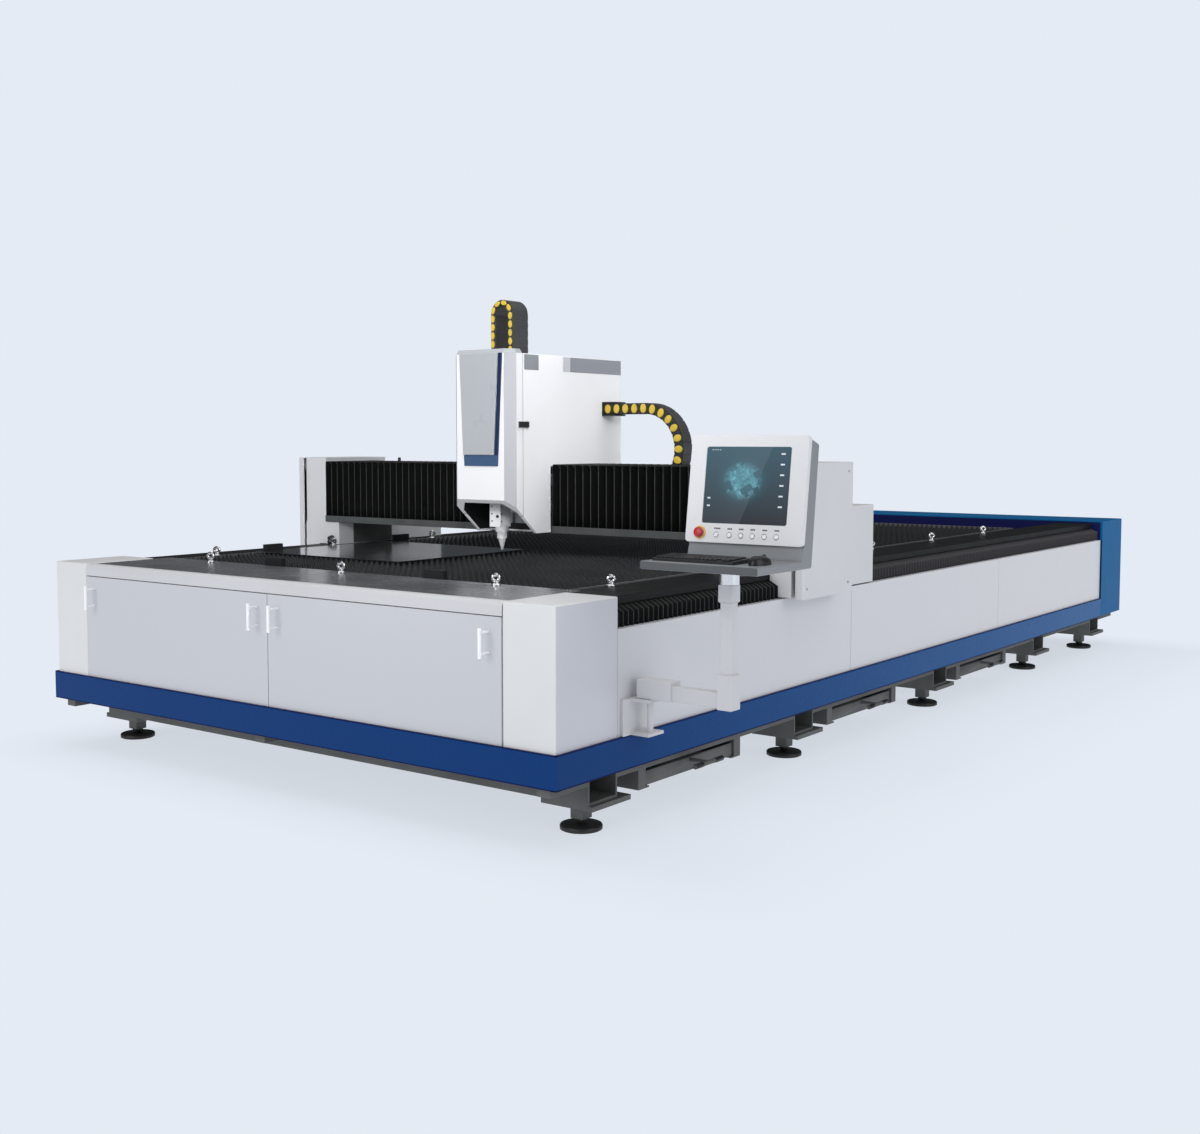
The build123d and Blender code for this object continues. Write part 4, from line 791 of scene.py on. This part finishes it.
def run_along(points, pitch, phases):
    """Places along a run given as dense points, some for each link: cumulative length, then
    interpolation. Gives each place and the way the run goes there."""
    points = np.asarray(points, float)
    length = np.concatenate([[0], np.cumsum(np.hypot(*np.diff(points, axis=0).T))])
    count = int(round(length[-1] / pitch))
    at = (np.arange(count)[:, None] + np.asarray(phases)[None, :]).ravel() * length[-1] / count

    def spot(where):
        return np.stack([np.interp(where, length, points[:, k]) for k in (0, 1)], axis=-1)

    way = spot(at + 0.2 * pitch) - spot(at - 0.2 * pitch)
    return spot(at), way / np.hypot(way[:, 0], way[:, 1])[:, None]


def chain(name, node, run, height, width, pitch, front_y, cap):
    """A cable chain: a bevelled bar swept along a run, p(s, k) = run(s) + n(s) h(k) w(s), whose
    height w dips in a notch at each joint, with an oval yellow cap on both sides of each link:
    c + a r cos(t) d + b r sin(t) n."""
    notch = np.array([0.0, 0.035, 0.075, 0.5, 0.925, 0.965])
    dip = np.array([0.9, 0.9, 1.0, 1.0, 1.0, 0.9])
    places, way = run_along(run, pitch, notch)
    rows = len(places)
    normal = np.stack([-way[:, 1], way[:, 0]], axis=-1)
    h, cut = height / 2, 0.004
    section = np.array([[cut - h, 0], [h - cut, 0], [h, cut], [h, width - cut], [h - cut, width],
                        [cut - h, width], [-h, width - cut], [-h, cut]])
    scale = np.tile(dip, rows // len(dip))[:, None]
    points = np.zeros((rows, 8, 3))
    points[:, :, 0] = places[:, 0:1] + normal[:, 0:1] * section[:, 0] * scale
    points[:, :, 1] = front_y + section[:, 1]
    points[:, :, 2] = places[:, 1:2] + normal[:, 1:2] * section[:, 0] * scale
    bar = piece(f"{name}_links", (points.reshape(-1, 3), tube_faces(rows, 8)), CHAIN, None,
                (node,), sharp=25)
    bar.data.materials.append(CHAIN_BACK.material)
    normals = np.zeros(len(bar.data.polygons) * 3)
    bar.data.polygons.foreach_get("normal", normals)
    rim = (np.abs(normals.reshape(-1, 3)[:, 1]) < 0.4).astype(int)
    bar.data.polygons.foreach_set("material_index", rim)
    middles, way = run_along(run, pitch, [0.5])
    caps = []
    for (x, z), (along_x, along_z) in zip(middles, way):
        for y, out in ((front_y, -1), (front_y + width, 1)):
            oval, faces = lathe([(0.0, 0.0045 * out), (0.5, 0.0043 * out), (0.88, 0.0035 * out),
                                 (1.0, 0.001 * out), (1.0, -0.002 * out), (0.0, -0.002 * out)],
                                (0, 0, 0), "Y", 24)
            long, across = oval[:, 0] * cap[0], oval[:, 2] * cap[1]
            caps.append((np.stack([x + long * along_x - across * along_z, y + oval[:, 1],
                                   z + long * along_z + across * along_x], axis=-1), faces))
    discs = piece(f"{name}_caps", together(*caps), YELLOW, None)
    for row in (bar, discs):
        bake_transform(row)


low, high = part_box("x_chain")
half = 0.027
arc_r = (high.z - low.z) / 2 - half
middle_z = (low.z + high.z) / 2
bend_x = high.x - arc_r - half
t = np.linspace(pi / 2, -pi / 2, 60)
run = [(HEAD_SIDE + 0.006, high.z - half), (bend_x, high.z - half)]
run += [(bend_x + arc_r * cos(a), middle_z + arc_r * sin(a)) for a in t]
run += [(low.x, low.z + half)]
chain("x_cable_chain", "x_chain", run, 2 * half, high.y - low.y, 0.0535, low.y,
      (0.0175, 0.0228))

low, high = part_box("z_chain")
half = 0.0145
arch_x = (low.x + high.x) / 2
arch_r = (high.x - low.x) / 2 - half
arch_z = high.z - half - arch_r
t = np.linspace(pi, 0, 60)
run = [(arch_x - arch_r, low.z)]
run += [(arch_x + arch_r * cos(a), arch_z + arch_r * sin(a)) for a in t]
CHAIN_FOOT = 1.8453
run += [(arch_x + arch_r, CHAIN_FOOT)]
chain("z_cable_chain", "z_chain", run, 2 * half, high.y - low.y, 0.040, low.y,
      (0.0178, 0.0112))

# Head trim: two grey bands and a paler one along the side
BAND_FOOT = 1.765
BAND_TOP = 1.836
for label, start, end, finish in (
        ("front", 1.381, 1.487, GREY_TRIM), ("rear", 1.732, 2.1545, GREY_TRIM),
        ("middle", 1.675, 1.7318, powder_coat("pale_trim_coat", (0.58, 0.59, 0.61), 0.35))):
    piece(f"head_side_band_{label}",
          soft_block((HEAD_SIDE - 0.001, FRONT + start, BAND_FOOT),
                     (HEAD_SIDE + 0.0025, FRONT + end, BAND_TOP), 0.001, 1),
          finish, "head_carriage")

# Cutting head: a white optical body with a chrome collet, ribbed ring and sensor below
low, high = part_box("nozzle")
nx = (low.x + high.x) / 2
ny = (low.y + high.y) / 2
dressed("cutting_head", BRIGHT, "cutting_head", 0.002, "chrome", "optical_body")
barrel = [(0.0, 1.129), (0.0365, 1.129), (0.0375, 1.133), (0.0375, 1.148), (0.0365, 1.152),
          (0.0, 1.152)]
ribs = [(0.0, 0.9955)] + [(0.0318 + 0.0012 * (k % 2), 0.9965 + 0.0022 * k) for k in range(14)]
ribs += [(0.0, 1.0275)]
collet = [(0.0, 0.9605), (0.0195, 0.9605), (0.0245, 0.966), (0.0245, 0.988), (0.0275, 0.9935),
          (0.0, 0.9935)]
piece("collet_rings", together(lathe(barrel, (nx, ny, 0), segments=40),
                               lathe(ribs, (nx, ny, 0), segments=40),
                               lathe(collet, (nx, ny, 0), segments=40)), NICKEL,
      "cutting_head")
screws = [lathe([(0.0, 0.0), (0.0035, 0.0), (0.0035, -0.0025), (0.0, -0.0025)],
                (x, ny - 0.038, z), "Y", 12)
          for z in (1.045, 1.08, 1.115) for x in (nx - 0.03, nx + 0.03)]
screws.append(lathe([(0.0, 0.0), (0.008, 0.0), (0.007, -0.004), (0.0, -0.004)],
                    (nx + 0.004, ny - 0.038, 1.068), "Y", 20))
piece("optical_body_screws", together(*screws), BLACK, "cutting_head")


def button_row_place(x, up):
    """A place on the console's upright face, before it is leaned back."""
    return (BEZEL_LEFT + x, BEZEL_FACE, BEZEL_FOOT + up)


# Console: stop button with its yellow ring, six ringed buttons, marks and screen icons
stop = button_row_place(0.060, 0.034)
mushroom = [(0.0, -0.022), (0.010, -0.0215), (0.0155, -0.019), (0.018, -0.0145), (0.018, -0.011),
            (0.0165, -0.0085), (0.011, -0.008), (0.011, 0.012), (0.0, 0.012)]
piece("stop_button", on_screen_face(lathe(mushroom, stop, "Y", 36)), STOP_RED,
      "emergency_stop", ("emergency_stop",))
collar = [(0.0186, -0.0002), (0.0235, -0.0002), (0.0235, -0.0025), (0.022, -0.0035),
          (0.0186, -0.0035), (0.0186, -0.0002)]
points, faces = lathe(collar, stop, "Y", 36)
piece("stop_ring", on_screen_face((points, faces[:-2])), STOP_YELLOW, "console")
BUTTON_X = (0.127, 0.181, 0.227, 0.273, 0.320, 0.367)
rings = []
marks = []
for i, x in enumerate(BUTTON_X):
    place = button_row_place(x, 0.028)
    cap = [(0.0, -0.0042), (0.0062, -0.004), (0.0076, -0.0028), (0.008, -0.001), (0.008, 0.014),
           (0.0, 0.014)]
    piece(f"button_cap_{i + 1}", on_screen_face(lathe(cap, place, "Y", 28)), BUTTON,
          f"button_{i + 1}", (f"push_button_{i + 1}",))
    rings.append(ring(0.0096, 0.0011, (place[0], place[1] - 0.0004, place[2]), "Y", 28, 8))
    for k in range(3 if i else 4):
        mark = button_row_place(x - 0.009 + 0.0065 * k, 0.0475)
        marks.append(soft_block((mark[0], mark[1] - 0.0004, mark[2]),
                                (mark[0] + 0.005, mark[1] + 0.0004, mark[2] + 0.0055),
                                0.0003, 1))
piece("button_rings", on_screen_face(together(*rings)), CHROME, "console")
piece("button_marks", on_screen_face(together(*marks)), INK, "console")
# Icons by their place on the screen from 0 to 1, then width and height
icon_rows = [(0.905, 0.90 - 0.135 * k, 0.016, 0.0055) for k in range(6)]
icon_rows += [(0.06, v, 0.012, 0.0055) for v in (0.32, 0.22)]
icon_rows += [(0.07 + 0.03 * k, 0.955, 0.006, 0.002) for k in range(4)]
icons = []
for u, v, wide, tall in icon_rows:
    x, y, z = button_row_place(0.064 + 0.338 * u, 0.068 + 0.27 * v)
    icons.append(soft_block((x - wide / 2, y + 0.0026, z), (x + wide / 2, y + 0.0034, z + tall),
                            0.0003, 1))
piece("screen_icons", on_screen_face(together(*icons)), ICON, "console")

# Keyboard: a wedge base with six rows of keys
low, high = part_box("keyboard")
base = prism([(low.y, low.z), (low.y, low.z + 0.010), (high.y, low.z + 0.0155), (high.y, low.z)],
             low.x, high.x)
keys = []
KEY = 0.0165
KEY_ROW_PITCH = 0.0178
SPACE_BAR = 5.6
for row_number in range(6):
    y = low.y + 0.011 + row_number * KEY_ROW_PITCH
    z = low.z + 0.010 + 0.0055 * (y - low.y) / (high.y - low.y)
    x = low.x + 0.008
    while x + KEY < high.x - 0.006:
        wide = KEY * (SPACE_BAR if row_number == 0 and 4.4 < (x - low.x) / KEY < 6 else 1)
        if not 0.76 < (x - low.x) / (high.x - low.x) < 0.785:
            keys.append(soft_block((x, y, z - 0.001), (x + wide - 0.0025, y + 0.0145, z + 0.005),
                                   0.0018, 1))
        x += wide
piece("keyboard_body", together(base, *keys), BLACK, "console", ("keyboard",))

# Mouse: a low dome over an egg-shaped outline, with a wheel
low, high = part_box("mouse")
ROUND = 36
RISE = 12
u = np.linspace(0, 2 * pi, ROUND, endpoint=False)[None, :]
w = np.linspace(0, pi / 2, RISE)[:, None]
half_x, half_y, tall = (high.x - low.x) / 2, (high.y - low.y) / 2, high.z - low.z
shell = np.stack([(low.x + high.x) / 2 + half_x * np.cos(u) * np.cos(w) ** 0.55,
                  (low.y + high.y) / 2 + half_y * np.sin(u) * np.cos(w) ** 0.6,
                  low.z + tall * np.sin(w) ** 0.8 * (1 - 0.18 * np.sin(u) * np.cos(w))],
                 axis=-1).reshape(-1, 3)
wheel = lathe([(0.0, -0.0035), (0.009, -0.0035), (0.010, 0), (0.009, 0.0035), (0.0, 0.0035)],
              ((low.x + high.x) / 2, low.y + 0.082, high.z - 0.0065), "X", 20)
piece("mouse_body", together((shell, tube_faces(RISE, ROUND)), wheel), BLACK, "console",
      ("mouse",), sharp=50)


def screw_head(place, way):
    """A domed screw head with a small hex recess, standing out along X one way."""
    size = 0.006
    rise = way * size * 0.45
    return lathe([(0.0, rise * 0.35), (size * 0.42, rise * 0.35), (size * 0.45, rise),
                  (size * 0.8, rise * 0.85), (size, 0.0), (0.0, 0.0)], place, "X", 18)


# Small fittings on the gantry: screws of the end covers, the left column's knob, the peg
screws = [screw_head((x, FRONT + y, z), way) for x, way in ((RIGHT + 0.09, 1), (LEFT - 0.09, -1))
          for y, z in ((1.624, 1.296), (2.010, 1.296), (2.010, 0.796), (1.624, 0.796))]
piece("cover_screws", together(*screws), GROUND, "gantry")
knob_x, knob_y, knob_z = RIGHT - 2.819, FRONT + 1.593, 0.885
LOBE_RING = 0.017
lobes = [lathe([(0.0, 0), (0.011, 0), (0.011, -0.012), (0.0, -0.014)],
               (knob_x + LOBE_RING * cos(a), knob_y - 0.006, knob_z + LOBE_RING * sin(a)), "Y", 14)
         for a in np.linspace(0, 2 * pi, 5, endpoint=False)]
lobes.append(lathe([(0.0, 0.001), (0.016, 0.0), (0.014, -0.022), (0.0, -0.024)],
                   (knob_x, knob_y, knob_z), "Y", 20))
piece("column_star_knob", together(*lobes), BLACK, "gantry")
piece("beam_peg", lathe([(0.0, 0), (0.008, 0), (0.008, 0.022), (0.0, 0.024)],
                        (RIGHT - 2.390, FRONT + 1.68, 1.318), "Z", 16), BLACK, "gantry")

# Rubber ends of the scrap drawers' T-bar grips
grips = []
for i in range(3):
    y = stations[i] + 0.6
    for way in (-1, 1):
        grips.append(lathe([(0.0, 0), (0.0102, 0), (0.0105, way * 0.002), (0.0105, way * 0.055),
                            (0.0085, way * 0.058), (0.0, way * 0.058)],
                           (RIGHT + 0.028, y + way * 0.044, 0.1623), "Y", 20))
    piece(f"drawer_grips_{i + 1}", together(*grips[-2:]), BLACK, f"scrap_drawer_{i + 1}")

# Rear end panel's inner face, in the darker blue
piece("rear_inner_face", soft_block((LEFT + 0.02, 2.8095, 0.7505), (RIGHT - 0.014, 2.8108, 0.872),
                                    0.0005, 1), NAVY, "bed")

# Skirt ledge and hem: a navy return along the top and a dark turned-in lip along the bottom
SKIRT_END = 2.811
lips = []
for low_z, high_z, inset in ((0.3502, 0.3535, 0.0105), (0.2265, 0.2302, 0.03)):
    lips.append(soft_block((LEFT, FRONT, low_z), (RIGHT, FRONT + inset, high_z), 0.0012, 1))
    for x, way in ((LEFT, 1), (RIGHT, -1)):
        lips.append(soft_block((x, FRONT, low_z), (x + way * inset, SKIRT_END, high_z), 0.0012, 1))
piece("skirt_lips", together(*lips), NAVY, "bed")

# Stage: a pale floor that fades into the backdrop, and soft studio light
BACKDROP = (0.783, 0.831, 0.905)


def stage_floor():
    """A floor that takes the machine's shadow near it and turns into plain backdrop farther out."""
    finish = Finish("studio_floor", (0.745, 0.775, 0.81), 0.8, specular=0.1)
    x, y, _ = finish.axes()
    beside = (x.absolute() - 1.75).join("MAXIMUM", 0.0)
    beyond = (y.absolute() - 3.1).join("MAXIMUM", 0.0)
    reach = (beside * beside + beyond * beyond).join("SQRT")
    far = reach.fade(0.0, 0.5) * 0.25 + 0.75
    glow = finish.node("Emission", inputs={"Color": (*BACKDROP, 1.0), "Strength": 1.0})
    mixed = finish.node("MixShader", inputs={0: far, 1: finish.shader.outputs[0],
                                             2: glow.outputs[0]})
    end = [n for n in finish.tree.nodes if n.type == "OUTPUT_MATERIAL"][0]
    finish.tree.links.new(mixed.outputs[0], end.inputs["Surface"])
    return finish


span = np.linspace(-60, 60, 3)
gx, gy = np.meshgrid(span, span, indexing="ij")
floor = piece("studio_floor", (np.stack([gx, gy, 0 * gx], axis=-1), grid_faces(3, 3)),
              stage_floor(), None, closed=False)
if floor.data.polygons[0].normal.z < 0:
    floor.data.flip_normals()

world = bpy.data.worlds.new("studio")
bpy.context.scene.world = world
world.use_nodes = True
tree = world.node_tree
tree.nodes.clear()
paths = tree.nodes.new("ShaderNodeLightPath")


def background(colour, strength=1.0):
    """One of the world's plain colours."""
    made = tree.nodes.new("ShaderNodeBackground")
    made.inputs["Color"].default_value = (*colour, 1.0)
    made.inputs["Strength"].default_value = strength
    return made


def chosen(ray, otherwise, where):
    """One shader for all rays, and another where a ray is of one kind."""
    made = tree.nodes.new("ShaderNodeMixShader")
    tree.links.new(paths.outputs[ray], made.inputs[0])
    tree.links.new(otherwise.outputs[0], made.inputs[1])
    tree.links.new(where.outputs[0], made.inputs[2])
    return made


# Light for the machine, gloom in what it mirrors, and the plain backdrop for the camera
lit = chosen("Is Glossy Ray", background((0.88, 0.91, 0.98), 0.55), background((0.05, 0.055, 0.06)))
shown = chosen("Is Camera Ray", lit, background(BACKDROP))
tree.links.new(shown.outputs[0], tree.nodes.new("ShaderNodeOutputWorld").inputs["Surface"])


def lamp(name, place, aim, size, power, colour=(1, 1, 1)):
    """A soft square light that points at a place."""
    data = bpy.data.lights.new(name, "AREA")
    data.shape = "RECTANGLE"
    data.size, data.size_y = size
    data.energy = power
    data.color = colour
    made = bpy.data.objects.new(name, data)
    bpy.context.scene.collection.objects.link(made)
    x, y, z = (a - p for a, p in zip(aim, place))
    made.location = place
    made.rotation_euler = (atan2(np.hypot(x, y), -z), 0, atan2(y, x) - pi / 2)
    return made


lamp("overhead", (-0.3, 0.0, 8.0), (-0.3, 0.0, 0.0), (9.0, 12.0), 330)
lamp("right_fill", (12.0, -2.0, 4.5), (0.0, 0.5, 0.6), (7.0, 8.0), 360, (0.99, 0.99, 1.0))
lamp("front_fill", (-1.5, -15.0, 5.5), (0.0, 0.0, 0.8), (9.0, 7.0), 680, (0.99, 0.99, 1.0))
head_light = lamp("head_light", (4.6, -7.6, 4.0), (-0.25, -1.6, 1.55), (1.0, 1.0), 5.5)
head_light.data.spread = radians(24)
